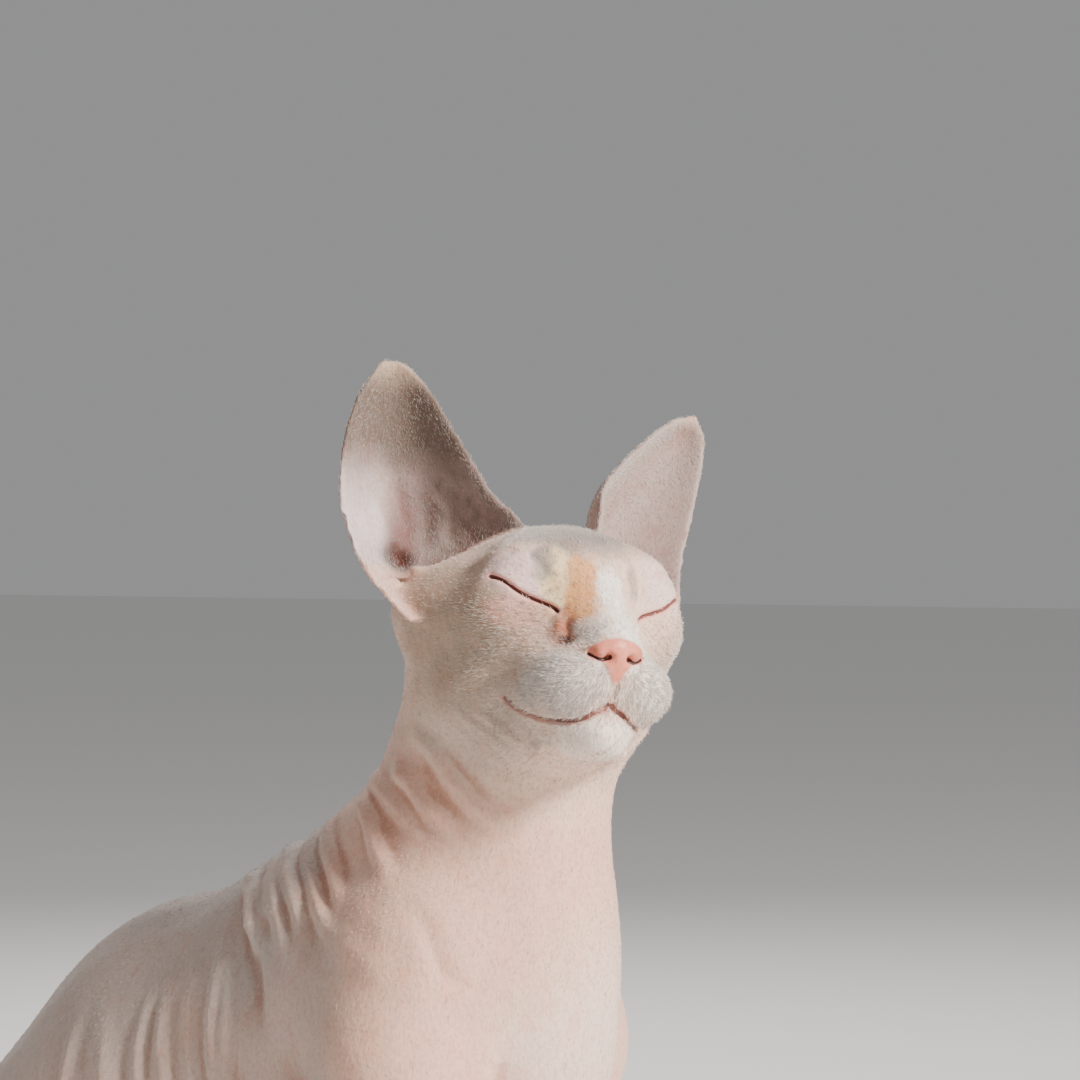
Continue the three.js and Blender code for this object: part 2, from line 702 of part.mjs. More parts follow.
// The closed lids, which lie on the ball of the eye
const EYE_BALL = { centre: [20.5, 16, 9.5], radius: 11.5 };
const EYE_CORNERS = { inner: [12, 34, 5], outer: [31.5, 23.5, 14] };
const LID_OUTLINE = [
  [10.5, 4.2],
  [13, 9.5],
  [18, 14.5],
  [24.5, 18],
  [30.5, 17.5],
  [33, 14.6],
  [31, 9.5],
  [26, 5],
  [20, 2.4],
  [14, 2],
];
for (const [name, side] of Object.entries(SIDES)) {
  const onSide = ([left, forward, up]) => onHead(side * left, forward, up);
  const outline = LID_OUTLINE.map(([l, u]) => [side * l, u]);
  const region = (grow) => {
    const ball = new THREE.SphereGeometry(EYE_BALL.radius - grow, 14, 10);
    const place = new THREE.Matrix4().setPosition(onSide(EYE_BALL.centre));
    const eyeball = solid(ball, headMatrix.clone().multiply(place));
    return frontBlock(outline, 14 - grow, 40, grow, headMatrix).subtract(eyeball);
  };
  const lids = head.intersect(region(0));
  head = head.subtract(region(GAP));
  const inner = onSide(EYE_CORNERS.inner).applyMatrix4(headMatrix);
  const outer = onSide(EYE_CORNERS.outer).applyMatrix4(headMatrix);
  const centre = onSide(EYE_BALL.centre).applyMatrix4(headMatrix);
  const slit = inner.clone().sub(centre).cross(outer.clone().sub(centre)).multiplyScalar(side);
  const [lower, upper] = cutInTwo(lids, centre, slit, EYE_SLIT);
  addNode("eyelid_upper_" + name, upper, MATERIALS.skin);
  addNode("eyelid_lower_" + name, lower, MATERIALS.skin);
}
addNode("head", head, MATERIALS.skin);

const wholeTrunk = trunkSurface().intersect(aboveFloor);
const [belowHead] = cutInTwo(wholeTrunk, neckTopPoint, neckTopNormal);
const [torsoAndLimbs, neck] = cutInTwo(belowHead, NECK_BASE.point, NECK_BASE.normal);
addNode("neck", neck, MATERIALS.skin);

const headGrown = headSurface(GAP);
for (const [name, side] of Object.entries(SIDES))
  addNode(
    "ear_" + name,
    earSurface(EARS[name], side, EAR_THICK).subtract(headGrown),
    MATERIALS.ear,
  );

const SHOULDER_OUTLINE = [
  [-46, 232],
  [-26, 250],
  [2, 240],
  [34, 226],
  [52, 200],
  [48, 165],
  [34, 120],
  [-10, 108],
  [-44, 120],
  [-48, 150],
  [-42, 190],
];
const THIGH_OUTLINE = [
  [-52, 128],
  [-84, 150],
  [-130, 156],
  [-172, 142],
  [-200, 100],
  [-206, 40],
  [-190, -12],
  [-110, -20],
  [-30, -12],
  [-26, 60],
  [-32, 100],
];
const SHOULDER_DEPTH = 27; // of the shoulder's inner face from the middle
const THIGH_DEPTH = 30;
const SHOULDER_MIDDLE = [42, -2, 185]; // left, forward and up
const THIGH_MIDDLE = [48, -115, 82];
const OUTSIDE = 120;

const LIMB_GRID = { round: 26, latitudes: 16, closer: 0 };
const LIMB_REACH = 130; // farthest that a limb's surface is from its centre
const PAST_BLOCK = 3; // by which a limb's surface passes the block that it is cut with

// A limb's upper part, wrapped round its own centre and cut out with its block.
function upperLimb(side, centre, masses, block, depth) {
  const around = together(masses);
  const mass = (p) => Math.max(around(p), depth - PAST_BLOCK - p.x * side);
  const grid = { ...LIMB_GRID, pole: new THREE.Vector3(side, 0, 0) };
  return roundSurface(mass, centre, grid, LIMB_REACH).intersect(block);
}

// Half sizes of a toe: across, along and up
const FORE_TOE = [4.7, 10.5, 7.8];
const HIND_TOE = [4.5, 10.5, 7.2];

let torso = torsoAndLimbs;
for (const [name, side] of Object.entries(SIDES)) {
  const shoulderBlock = sideBlock(SHOULDER_OUTLINE, side, SHOULDER_DEPTH, OUTSIDE);
  const upperArm = upperLimb(
    side,
    at(side * SHOULDER_MIDDLE[0], SHOULDER_MIDDLE[1], SHOULDER_MIDDLE[2]),
    [...trunk, ...shoulder(side), ...foreleg(side)],
    shoulderBlock,
    SHOULDER_DEPTH,
  );
  const elbow = { point: at(side * 44, -10, ELBOW), normal: new THREE.Vector3(0, 0, 1) };
  const [, shoulderNode] = cutInTwo(upperArm, elbow.point, elbow.normal);
  addNode("shoulder_" + name, shoulderNode, MATERIALS.skin);
  torso = torso.subtract(sideBlock(SHOULDER_OUTLINE, side, SHOULDER_DEPTH, OUTSIDE, GAP));

  const [below] = cutInTwo(forelegSurface(side), elbow.point, elbow.normal);
  const [room] = cutInTwo(forelegSurface(side, GAP), elbow.point, elbow.normal, 0);
  torso = torso.subtract(room);
  const wrist = { point: at(side * 31, 10, WRIST), normal: onHead(0, -0.25, 0.97) };
  const [paw, forearm] = cutInTwo(below, wrist.point, wrist.normal);
  addNode("forearm_" + name, forearm, MATERIALS.skin);
  const forepaw = withToes(paw, side * 30, 42, 7, 7, FORE_TOE);
  addNode("forepaw_" + name, forepaw, MATERIALS.skin);

  const thighBlock = sideBlock(THIGH_OUTLINE, side, THIGH_DEPTH, OUTSIDE);
  const hip = at(side * THIGH_MIDDLE[0], THIGH_MIDDLE[1], THIGH_MIDDLE[2]);
  const upperLeg = upperLimb(side, hip, body, thighBlock, THIGH_DEPTH);
  const footTop = { point: at(0, 0, FOOT_TOP), normal: new THREE.Vector3(0, 0, 1) };
  const [, upper] = cutInTwo(upperLeg, footTop.point, footTop.normal);
  addNode("hindleg_" + name, upper, MATERIALS.skin);
  torso = torso.subtract(sideBlock(THIGH_OUTLINE, side, THIGH_DEPTH, OUTSIDE, GAP));
  const [foot] = cutInTwo(hindfootSurface(side), footTop.point, footTop.normal);
  const hind = withToes(foot, side * 57, -51, 6.6, 6.6, HIND_TOE);
  addNode("hindfoot_" + name, hind.intersect(thighBlock), MATERIALS.skin);
}

const [torsoAlone] = cutInTwo(torso, TAIL_BASE.point, TAIL_BASE.normal);
addNode("torso", torsoAlone, MATERIALS.skin);

// The tail in three lengths
const FIRST_TAIL_CUT = at(60, -241, 8);
const SECOND_TAIL_CUT = at(105, -150, 6);
const [tailStart, tailRest] = cutInTwo(tailSurface(), FIRST_TAIL_CUT, onHead(1, 0.3, 0));
const [, tailRoot] = cutInTwo(tailStart, TAIL_BASE.point, TAIL_BASE.normal);
const [tailMiddle, tailTip] = cutInTwo(tailRest, SECOND_TAIL_CUT, onHead(0, 1, 0));
addNode("tail_root", tailRoot, MATERIALS.skin);
addNode("tail_middle", tailMiddle, MATERIALS.skin);
addNode("tail_tip", tailTip, MATERIALS.skin);

cat.position.set(-BOX_MIDDLE[0], -BOX_MIDDLE[1], 0);

export default cat;
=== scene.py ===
# Sphynx cat, sitting upright with its head turned and its eyes shut, at life size.
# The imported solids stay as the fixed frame. One skin covers them all, with its folds,
# lids, lips and ear cups, and then come the claws and the fine down that lies on the skin.
import math

import bpy
import numpy as np
from mathutils import Euler, Matrix, Vector
from mathutils.bvhtree import BVHTree


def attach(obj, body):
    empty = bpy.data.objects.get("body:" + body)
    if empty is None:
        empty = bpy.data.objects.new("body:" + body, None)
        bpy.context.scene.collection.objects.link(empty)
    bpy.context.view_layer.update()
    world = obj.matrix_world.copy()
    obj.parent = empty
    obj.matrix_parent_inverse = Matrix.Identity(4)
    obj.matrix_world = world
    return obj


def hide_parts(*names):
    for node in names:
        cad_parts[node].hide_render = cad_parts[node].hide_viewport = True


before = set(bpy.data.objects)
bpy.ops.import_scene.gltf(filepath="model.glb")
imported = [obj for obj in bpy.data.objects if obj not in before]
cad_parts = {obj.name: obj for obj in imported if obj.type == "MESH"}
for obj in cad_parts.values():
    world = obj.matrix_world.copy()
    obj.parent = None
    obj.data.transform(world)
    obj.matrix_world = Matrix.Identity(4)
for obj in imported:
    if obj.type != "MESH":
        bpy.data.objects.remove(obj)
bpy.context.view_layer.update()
MM = 0.001

# The camera stands level with the head, a metre off and to the right of the cat,
# and frames the head, neck and chest as the photograph does.
bpy.ops.object.camera_add(
    location=(-0.83842, -0.69664, 0.36173),
    rotation=(math.radians(90), 0, math.radians(-55)),
)
camera = bpy.context.object
camera.name = "camera"
camera.data.lens = 110
camera.data.sensor_width = 36
camera.data.clip_start = 0.05
bpy.context.scene.camera = camera

# The floor is one plain pale sheet that the cat sits on.
FLOOR_SIDE = 30.0
bpy.ops.object.select_all(action="DESELECT")
bpy.ops.mesh.primitive_plane_add(size=FLOOR_SIDE, location=(0, 0, 0))
floor = bpy.context.object
floor.name = "floor"


def new_finish(name):
    """A new material, its nodes and its shader."""
    finish = bpy.data.materials.new(name)
    finish.use_nodes = True
    return finish, finish.node_tree, finish.node_tree.nodes["Principled BSDF"]


def set_inputs(made, **values):
    """Sets a node's sockets; an underscore in a name stands for a space."""
    for socket, value in values.items():
        made.inputs[socket.replace("_", " ")].default_value = value


floor_finish, net, shader = new_finish("pale_floor")
set_inputs(shader, Base_Color=(0.88, 0.87, 0.85, 1), Roughness=0.85)
floor.data.materials.append(floor_finish)


# Studio light: a key lamp from the side that the face looks to, as in the photograph,
# a wide weak lamp on the cat's right, and a rim lamp over the back.
def lamp(name, place, aim, side, watts, colour):
    bpy.ops.object.light_add(type="AREA", location=place)
    light = bpy.context.object
    light.name = name
    light.data.shape = "SQUARE"
    light.data.size = side
    light.data.energy = watts
    light.data.color = colour
    light.rotation_euler = (Vector(aim) - Vector(place)).to_track_quat("-Z", "Y").to_euler()


lamp("key_lamp", (-0.05, -1.85, 1.30), (0, -0.10, 0.28), 0.4, 96, (1.0, 0.95, 0.89))
lamp("fill_lamp", (-1.9, 0.2, 0.9), (0, 0, 0.25), 1.4, 1, (1.0, 0.97, 0.95))
lamp("rim_lamp", (1.1, 0.9, 1.3), (0, 0, 0.3), 0.8, 16, (1.0, 0.98, 0.95))
sky = bpy.context.scene.world or bpy.data.worlds.new("studio")
bpy.context.scene.world = sky
sky.use_nodes = True
set_inputs(sky.node_tree.nodes["Background"], Color=(0.90, 0.90, 0.91, 1), Strength=0.34)

# The skin is one loose hide over the whole body, from the ears to the tail tip.
# It is drawn over the solids, which are grown a little so that their thin cuts close,
# made one surface, and taken back in so that it lies inside them by the down's depth.
SWELL = 0.25 * MM
DOWN_DEPTH = 0.3 * MM
SKIN_GRID = 1.1 * MM


def alone(piece):
    bpy.ops.object.select_all(action="DESELECT")
    piece.select_set(True)
    bpy.context.view_layer.objects.active = piece


def apply_modifier(piece, kind, **settings):
    alone(piece)
    step = piece.modifiers.new(kind.lower(), kind)
    for setting, value in settings.items():
        setattr(step, setting, value)
    bpy.ops.object.modifier_apply(modifier=step.name)


def points_of(piece, kept="co"):
    flat = np.empty(len(piece.data.vertices) * 3, np.float32)
    piece.data.vertices.foreach_get(kept, flat)
    return flat.reshape(-1, 3).astype(float)


def normals_of(piece):
    return points_of(piece, "normal")


def move_points(piece, points):
    piece.data.vertices.foreach_set("co", points.astype(np.float32).ravel())
    piece.data.update()


flesh = sorted(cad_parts)
bpy.ops.object.select_all(action="DESELECT")
for name in flesh:
    part = bpy.data.objects.new("skin_of_" + name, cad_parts[name].data.copy())
    bpy.context.scene.collection.objects.link(part)
    part.select_set(True)
    bpy.context.view_layer.objects.active = part
bpy.ops.object.join()
skin = bpy.context.object
skin.name = "skin"
skin.data.materials.clear()
bpy.ops.object.mode_set(mode="EDIT")
bpy.ops.mesh.select_all(action="SELECT")
bpy.ops.mesh.remove_doubles(threshold=0.01 * MM)
bpy.ops.transform.shrink_fatten(value=SWELL, use_even_offset=True)
bpy.ops.object.mode_set(mode="OBJECT")
apply_modifier(skin, "REMESH", mode="VOXEL", voxel_size=SKIN_GRID)

# Every point of the skin knows which solid it lies over. The hide is drawn taut and even
# over the body, and left closer to the solids on the ears, lids, nose, feet and tail.
HEAD_PLACE = Vector((-18.02, -124.81, 329.0)) * MM
HEAD_TURN = (
    Matrix.Rotation(math.radians(-30), 3, "Z")
    @ Matrix.Rotation(math.radians(-11), 3, "X")
    @ Matrix.Rotation(math.radians(7), 3, "Y")
)
BODY_MIDDLE = -15.02
BODY_FRONT = -78.81
TAUTNESS = {
    "torso": 1.0,
    "neck": 1.0,
    "shoulder": 1.0,
    "hindleg": 1.0,
    "forearm": 0.5,
    "head": 0.35,
    "hindfoot": 0.25,
    "tail": 0.25,
    "forepaw": 0.2,
    "eyelid": 0.15,
    "ear": 0.2,
    "nose": 0.03,
}
SOFTENING_ROUNDS = 40
TAUTNESS_ROUNDS = 12


def on_head(left, forward, up):
    return HEAD_PLACE + HEAD_TURN @ Vector((left, -forward, up)) * MM


def on_body(left, forward, up):
    return Vector((left + BODY_MIDDLE, BODY_FRONT - forward, up)) * MM


def head_measure(points):
    turned = (points - np.array(HEAD_PLACE)) @ np.array(HEAD_TURN) / MM
    return turned * np.array((1, -1, 1))


def body_measure(points):
    mm = points / MM
    return np.stack((mm[:, 0] - BODY_MIDDLE, BODY_FRONT - mm[:, 1], mm[:, 2]), axis=1)


def solids_tree():
    corners = []
    faces = []
    owners = []
    for name in flesh:
        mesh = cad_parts[name].data
        first = len(corners)
        corners.extend(vertex.co for vertex in mesh.vertices)
        faces.extend([first + corner for corner in face.vertices] for face in mesh.polygons)
        owners.extend([name] * len(mesh.polygons))
    return BVHTree.FromPolygons(corners, faces), owners


def solid_under(points):
    return [solid_owners[solid_tree.find_nearest(Vector(point))[2]] for point in points]


def edges_of(piece):
    flat = np.empty(len(piece.data.edges) * 2, np.int32)
    piece.data.edges.foreach_get("vertices", flat)
    return flat.reshape(-1, 2)


def evened(values, edges, weights, rounds):
    """Values at the skin's points, drawn towards those of their neighbours a number of times."""
    count = len(values)
    first, second = edges.T
    neighbours = np.bincount(first, minlength=count) + np.bincount(second, minlength=count)
    values = values.copy()
    for _ in range(rounds):
        for column in range(values.shape[1]):
            line = values[:, column]
            total = np.bincount(first, line[second], count) + np.bincount(second, line[first], count)
            line += weights * (total / neighbours - line)
    return values


solid_tree, solid_owners = solids_tree()
start = points_of(skin)
owners = solid_under(start)
edges = edges_of(skin)
tautness = np.array([TAUTNESS[name.split("_")[0]] for name in owners])
tautness = evened(tautness[:, None], edges, np.full(len(start), 0.8), TAUTNESS_ROUNDS)[:, 0]
soft = evened(start, edges, tautness, SOFTENING_ROUNDS)
lost = evened(start - soft, edges, tautness, SOFTENING_ROUNDS)
move_points(skin, soft + lost)
move_points(skin, points_of(skin) - normals_of(skin) * (SWELL + DOWN_DEPTH))


# Loose hide gathers in long soft folds where the head turns to the right: slantwise down the
# near side of the neck and over the scruff, where the far side is stretched flatter. More folds
# stand along the flanks and at the joints of the limbs, and small pleats ring the tail.
def smooth_course(stops, step=1.5):
    """A rounded line through some stops, as points a step apart in millimetres."""
    ends = [2 * stops[0] - stops[1], *stops, 2 * stops[-1] - stops[-2]]
    line = []
    for before, start, end, after in zip(ends, ends[1:], ends[2:], ends[3:]):
        count = max(2, int((end - start).length / (step * MM)))
        for number in range(count):
            t = number / count
            line.append(
                0.5
                * (
                    2 * start
                    + (end - before) * t
                    + (2 * before - 5 * start + 4 * end - after) * t**2
                    + (3 * start - before - 3 * end + after) * t**3
                )
            )
    line.append(stops[-1])
    return line


class Hide:
    """The skin's points while folds are worked into it: how far each is lifted, in millimetres."""

    def __init__(self, piece):
        self.piece = piece
        self.points = points_of(piece)
        self.normals = normals_of(piece)
        self.lift = np.zeros(len(self.points))
        self.shift = np.zeros_like(self.points)
        self.tree = BVHTree.FromObject(piece, bpy.context.evaluated_depsgraph_get())

    def near(self, course, reach):
        line = []
        facing = []
        for stop in smooth_course(course):
            place, normal, _, _ = self.tree.find_nearest(stop)
            line.append(place)
            facing.append(normal)
        line = np.array(line)
        facing = np.array(facing)
        low = line.min(axis=0) - reach * MM
        high = line.max(axis=0) + reach * MM
        inside = np.where(np.all((self.points > low) & (self.points < high), axis=1))[0]
        steps = line[1:] - line[:-1]
        lengths = np.maximum((steps**2).sum(axis=1), 1e-12)
        best = np.full(len(inside), np.inf)
        share = np.zeros(len(inside))
        turned = np.zeros(len(inside))
        for number, step in enumerate(steps):
            offset = self.points[inside] - line[number]
            t = np.clip(offset @ step / lengths[number], 0, 1)
            distance = np.linalg.norm(offset - t[:, None] * step, axis=1) / MM
            closer = distance < best
            best[closer] = distance[closer]
            share[closer] = (number + t[closer]) / len(steps)
            turned[closer] = (self.normals[inside] @ facing[number])[closer]
        kept = (best < reach) & (turned > 0.15)
        return inside[kept], best[kept], share[kept]

    def fold(self, course, height, width, taper=0.3, trough=0.0):
        """Raises a rounded fold along a course, or sinks a groove where the height is negative."""
        index, distance, share = self.near(course, 3 * width)
        ends = np.clip(np.minimum(share, 1 - share) / max(taper, 1e-3), 0, 1)
        ends = ends * ends * (3 - 2 * ends)
        profile = (1 - trough * (distance / width) ** 2) * np.exp(-((distance / width) ** 2))
        self.lift[index] += height * profile * ends

    def sunk_line(self, course, depth):
        """The course's line on the skin, moved a little way in, for colouring a groove."""
        line = []
        for stop in smooth_course(course, 0.8):
            place, normal, _, _ = self.tree.find_nearest(stop)
            line.append(place - normal * depth * MM)
        return np.array(line)

    def press(self, place, direction, depth, width):
        """Moves the skin and what lies behind it the same way, as a thumb presses thin gristle."""
        distance = np.linalg.norm(self.points - np.array(place), axis=1) / MM
        amount = depth * np.exp(-((distance / width) ** 2))
        self.shift += amount[:, None] * np.array(direction.normalized()) * MM

    def mound(self, place, height, width):
        """Raises a soft round swelling, or sinks a pit where the height is negative."""
        centre, facing, _, _ = self.tree.find_nearest(place)
        offset = self.points - np.array(centre)
        distance = np.linalg.norm(offset, axis=1) / MM
        index = np.where((distance < 3 * width) & (self.normals @ np.array(facing) > 0.1))[0]
        self.lift[index] += height * np.exp(-((distance[index] / width) ** 2))

    def work(self):
        moved = self.points + self.normals * self.lift[:, None] * MM + self.shift
        move_points(self.piece, moved)


def mirrored(course):
    return [(-left, forward, up) for left, forward, up in course]


def body_course(course):
    return [on_body(*stop) for stop in course]


def head_course(course):
    return [on_head(*stop) for stop in course]


def fold_sides(course, near_height, far_height, width, **shape):
    """Raises the same fold on the near side, the cat's right, and on the far side."""
    hide.fold(body_course(course), near_height, width, **shape)
    hide.fold(body_course(mirrored(course)), far_height, width, **shape)


NECK_FOLDS = (
    ((-28.5, 11.8, 305.4), (-32.9, 23.7, 299.7), (-32.9, 33.4, 288.8), (-27.5, 46.4, 273.9)),
    ((-26.6, 3.7, 293.5), (-32.2, 15.3, 289.2), (-34.0, 23.1, 282.1), (-33.8, 34.1, 273.7)),
    ((-12.7, -12.4, 289.6), (-27.8, 1.6, 285.9), (-34.0, 15.2, 279.1), (-35.7, 24.8, 271.3)),
    ((-17.3, -14.4, 284.5), (-31.2, -1.5, 278.1), (-36.3, 7.4, 268.9), (-43.8, 17.7, 259.1)),
    ((-8.4, -26.9, 279.7), (-20.6, -24.0, 271.3), (-36.5, -10.5, 261.5), (-46.6, 2.6, 247.0)),
    ((-8.4, -36.7, 273.6), (-25.7, -28.2, 263.4), (-38.5, -15.9, 255.0), (-52.8, 2.5, 240.1)),
    ((-4.9, -48.9, 266.7), (-29.2, -34.6, 260.8), (-41.4, -21.0, 251.0), (-47.6, -11.3, 236.7)),
    ((-8.3, -53.9, 263.2), (-36.7, -33.2, 253.8), (-44.9, -24.0, 242.3), (-48.5, -19.0, 230.0)),
    ((-12.4, -60.0, 257.4), (-35.4, -44.8, 250.2), (-43.2, -37.4, 241.2), (-46.3, -33.9, 229.4)),
)
NECK_FOLD_HEIGHT = 2.6
NECK_FOLD_WIDTH = 3.6
FAR_SIDE_SHARE = 0.45
FLANK_STATIONS = ((0, -36), (0.25, -46), (0.5, -51), (0.75, -52), (1, -48))
FLANK_FOLDS = 13
FLANK_FOLD_STEP = 6.6
FLANK_FOLD_HEIGHT = 2.3
LIMB_FOLDS = (
    (((-38, -60, 172), (-48, -50, 158), (-50, -36, 150), (-46, -26, 146)), 1.5, 2.6),
    (((-40, -66, 160), (-49, -54, 146), (-50, -40, 139), (-46, -30, 136)), 1.3, 2.4),
    (((-40, -74, 148), (-48, -62, 132), (-47, -50, 122)), 1.2, 2.6),
    (((-44, -30, 176), (-52, -22, 166), (-55, -8, 160), (-50, 6, 158)), 1.1, 2.8),
    (((-42, -26, 136), (-47, -16, 128), (-48, -4, 126), (-44, 8, 128)), 0.9, 2.4),
    (((-40, -22, 128), (-45, -13, 120), (-46, -2, 118), (-42, 8, 120)), 0.8, 2.2),
    (((-26, 20, 42), (-34, 22, 40), (-39, 14, 41)), 0.5, 1.6),
    (((-26, 19, 50), (-34, 21, 48), (-39, 13, 49)), 0.45, 1.6),
    (((-52, -78, 128), (-62, -84, 112), (-66, -80, 92), (-62, -70, 72)), 1.2, 3.0),
    (((-56, -92, 132), (-66, -96, 116), (-70, -92, 94), (-68, -82, 70)), 1.0, 3.2),
    (((-58, -110, 128), (-68, -112, 110), (-71, -106, 88)), 0.8, 3.4),
    (((-46, -160, 60), (-58, -170, 46), (-62, -164, 32)), 0.9, 2.4),
    (((-40, -172, 66), (-52, -184, 50), (-57, -180, 34)), 0.8, 2.4),
)
SCRUFF_VALLEY = ((-22.0, -54.3, 255.0), (-41.8, -42.6, 240.7), (-47.9, -32.7, 226.4), (-50, -26, 205))
CHEST_CREASE = ((-46.5, 19.1, 257.8), (-46.9, 31.3, 249.7), (-45.2, 39.2, 233.9), (-32.9, 48.9, 226.0))
TAIL_RING_MIDDLE = (30, -150, 0)
PLEATS_ON_TAIL = 46
PLEAT_HEIGHT = 0.22
CHEST_NOTCHES = ((-28.0, 46.0, 196.0), (28.0, 46.0, 196.0))
NOTCH_REACH = 20
NOTCH_ROUNDS = 50

hide = Hide(skin)
for middle in CHEST_NOTCHES:
    away = np.linalg.norm(body_measure(hide.points) - np.array(middle), axis=1)
    closing = np.clip(1.4 - away / NOTCH_REACH, 0, 1)
    move_points(skin, evened(hide.points, edges, closing, NOTCH_ROUNDS))
    hide = Hide(skin)
for number, course in enumerate(NECK_FOLDS):
    height = NECK_FOLD_HEIGHT * (1 + 0.18 * math.sin(2.4 * number))
    fold_sides(course, height, height * FAR_SIDE_SHARE, NECK_FOLD_WIDTH, trough=0.7)
draw = np.random.default_rng(61)
for number in range(FLANK_FOLDS):
    back = -44 - FLANK_FOLD_STEP * number + draw.uniform(-1.6, 1.6)
    top = 240 - 3.4 * number + draw.uniform(-11, 7)
    long = draw.uniform(58, 96) * (1 - 0.018 * number)
    lean = 12 + draw.uniform(-3, 4)
    course = []
    for share, left in FLANK_STATIONS:
        sway = 1.3 * math.sin(5.1 * share + 1.7 * number)
        course.append((left, back - 4 + lean * share + sway, top - long * share))
    height = FLANK_FOLD_HEIGHT * draw.uniform(0.45, 1.15) * (1 - 0.035 * number)
    width = draw.uniform(2.3, 3.5)
    fold_sides(course, height, height, width, taper=0.4, trough=0.8)
for course, height, width in LIMB_FOLDS:
    fold_sides(course, height, height, width, trough=0.8)
on_tail = np.array([name.startswith("tail") for name in owners], float)
from_middle = body_measure(hide.points) - np.array(TAIL_RING_MIDDLE)
turned = np.arctan2(from_middle[:, 1], from_middle[:, 0])
hide.lift += PLEAT_HEIGHT * on_tail * np.sin(turned * PLEATS_ON_TAIL)
fold_sides(SCRUFF_VALLEY, -3.0, -2.2, 5.0)
fold_sides(CHEST_CREASE, -0.9, -0.7, 2.6)
hide.work()

# The face is worked in more closely: its part of the skin and the ears' holes are split finer,
# then the shut lids, the tear groove, the lips, the whisker pads with their rows of follicles
# and the bumps of the jaw are worked into it.
FACE_MIDDLE = np.array((0, 36, -8))
FACE_REACH = 40
EAR_HOLE = (-42.8, -18.2, 26.3)
EAR_HOLE_REACH = 22


def part_of_face(points):
    place = head_measure(points)
    face = np.linalg.norm(place - FACE_MIDDLE, axis=1) < FACE_REACH
    ears = np.linalg.norm(np.abs(place) - np.abs(EAR_HOLE), axis=1) < EAR_HOLE_REACH
    return face & (place[:, 1] > 5) | ears & (place[:, 1] > -32)


middles = np.array([face.center for face in skin.data.polygons])
alone(skin)
bpy.ops.object.mode_set(mode="EDIT")
bpy.ops.mesh.select_all(action="DESELECT")
bpy.ops.object.mode_set(mode="OBJECT")
skin.data.polygons.foreach_set("select", part_of_face(middles))
bpy.ops.object.mode_set(mode="EDIT")
bpy.ops.mesh.subdivide(number_cuts=1)
bpy.ops.object.mode_set(mode="OBJECT")
fine = part_of_face(points_of(skin)) * 0.5
move_points(skin, evened(points_of(skin), edges_of(skin), fine, 4))

SLIT = (
    (-31.4, 25.2, 14.3),
    (-27.4, 28.0, 12.4),
    (-24.0, 31.4, 9.2),
    (-19.7, 32.7, 7.1),
    (-16.2, 34.1, 5.7),
    (-14.2, 35.5, 4.5),
    (-13.2, 36.2, 3.0),
)
LID_FOLD = (
    (-31.9, 23.6, 15.9),
    (-29.1, 25.4, 19.6),
    (-25.9, 28.8, 21.5),
    (-22.0, 31.7, 21.4),
    (-18.6, 33.6, 18.4),
    (-15.8, 34.2, 12.6),
    (-15.0, 35.0, 8.0),
)
TEAR_FOLD = ((-13.6, 35.6, 4.0), (-12.9, 36.2, 0.4), (-13.2, 35.9, -2.0), (-14.2, 35.5, -5.4))
TEAR_GROOVE = ((-11.8, 37.2, 2.4), (-10.9, 38.6, -1.5), (-11.3, 39.0, -4.8), (-12.4, 38.2, -7.6))
NOSE_GROOVE = ((-8.7, 42.8, -2.4), (-9.8, 41.3, -4.3), (-11.5, 40.2, -6.1), (-13.0, 40.0, -7.1))
BRIDGE_WRINKLE = ((-9.6, 40.5, 2.9), (-6.7, 42.9, 3.2), (-4.5, 44.5, 3.4))
LIP_LINE = (
    (0.0, 45.8, -23.8),
    (-1.6, 45.6, -25.6),
    (-4.7, 44.8, -27.0),
    (-7.7, 42.3, -28.7),
    (-11.9, 39.2, -29.5),
    (-15.4, 34.4, -29.0),
    (-18.4, 29.1, -26.8),
    (-21.0, 23.3, -23.5),
    (-22.6, 19.0, -20.2),
)
PHILTRUM = ((0.6, 48.9, -17.0), (0.8, 48.4, -20.0), (0.4, 46.9, -23.0))
PAD_EDGE = (
    (-21.6, 27.1, -8.0),
    (-23.0, 28.1, -14.2),
    (-22.8, 30.9, -18.8),
    (-21.9, 34.0, -22.1),
    (-19.5, 36.8, -25.2),
)
# Each with its height and width, and negative heights for grooves
FACE_CREASES = (
    (LID_FOLD, -0.7, 1.5),
    (TEAR_FOLD, 0.7, 1.6),
    (TEAR_GROOVE, -1.1, 1.6),
    (NOSE_GROOVE, -0.6, 0.8),
    (BRIDGE_WRINKLE, -0.35, 0.6),
    (PAD_EDGE, -1.0, 2.2),
)
JOWL_BUMPS = 26
WHISKER_ROWS = 4
WHISKERS_A_ROW = 6
JOWL_FOLDS = (
    ((-30.1, 9.1, -22.2), (-23.5, 12.8, -26.9), (-18.9, 17.4, -31.3), (-14.9, 20.1, -35.1)),
    ((-34.1, 3.9, -20.1), (-27.8, 7.8, -26.6), (-21.1, 11.6, -32.5), (-15.6, 14.1, -36.8)),
)

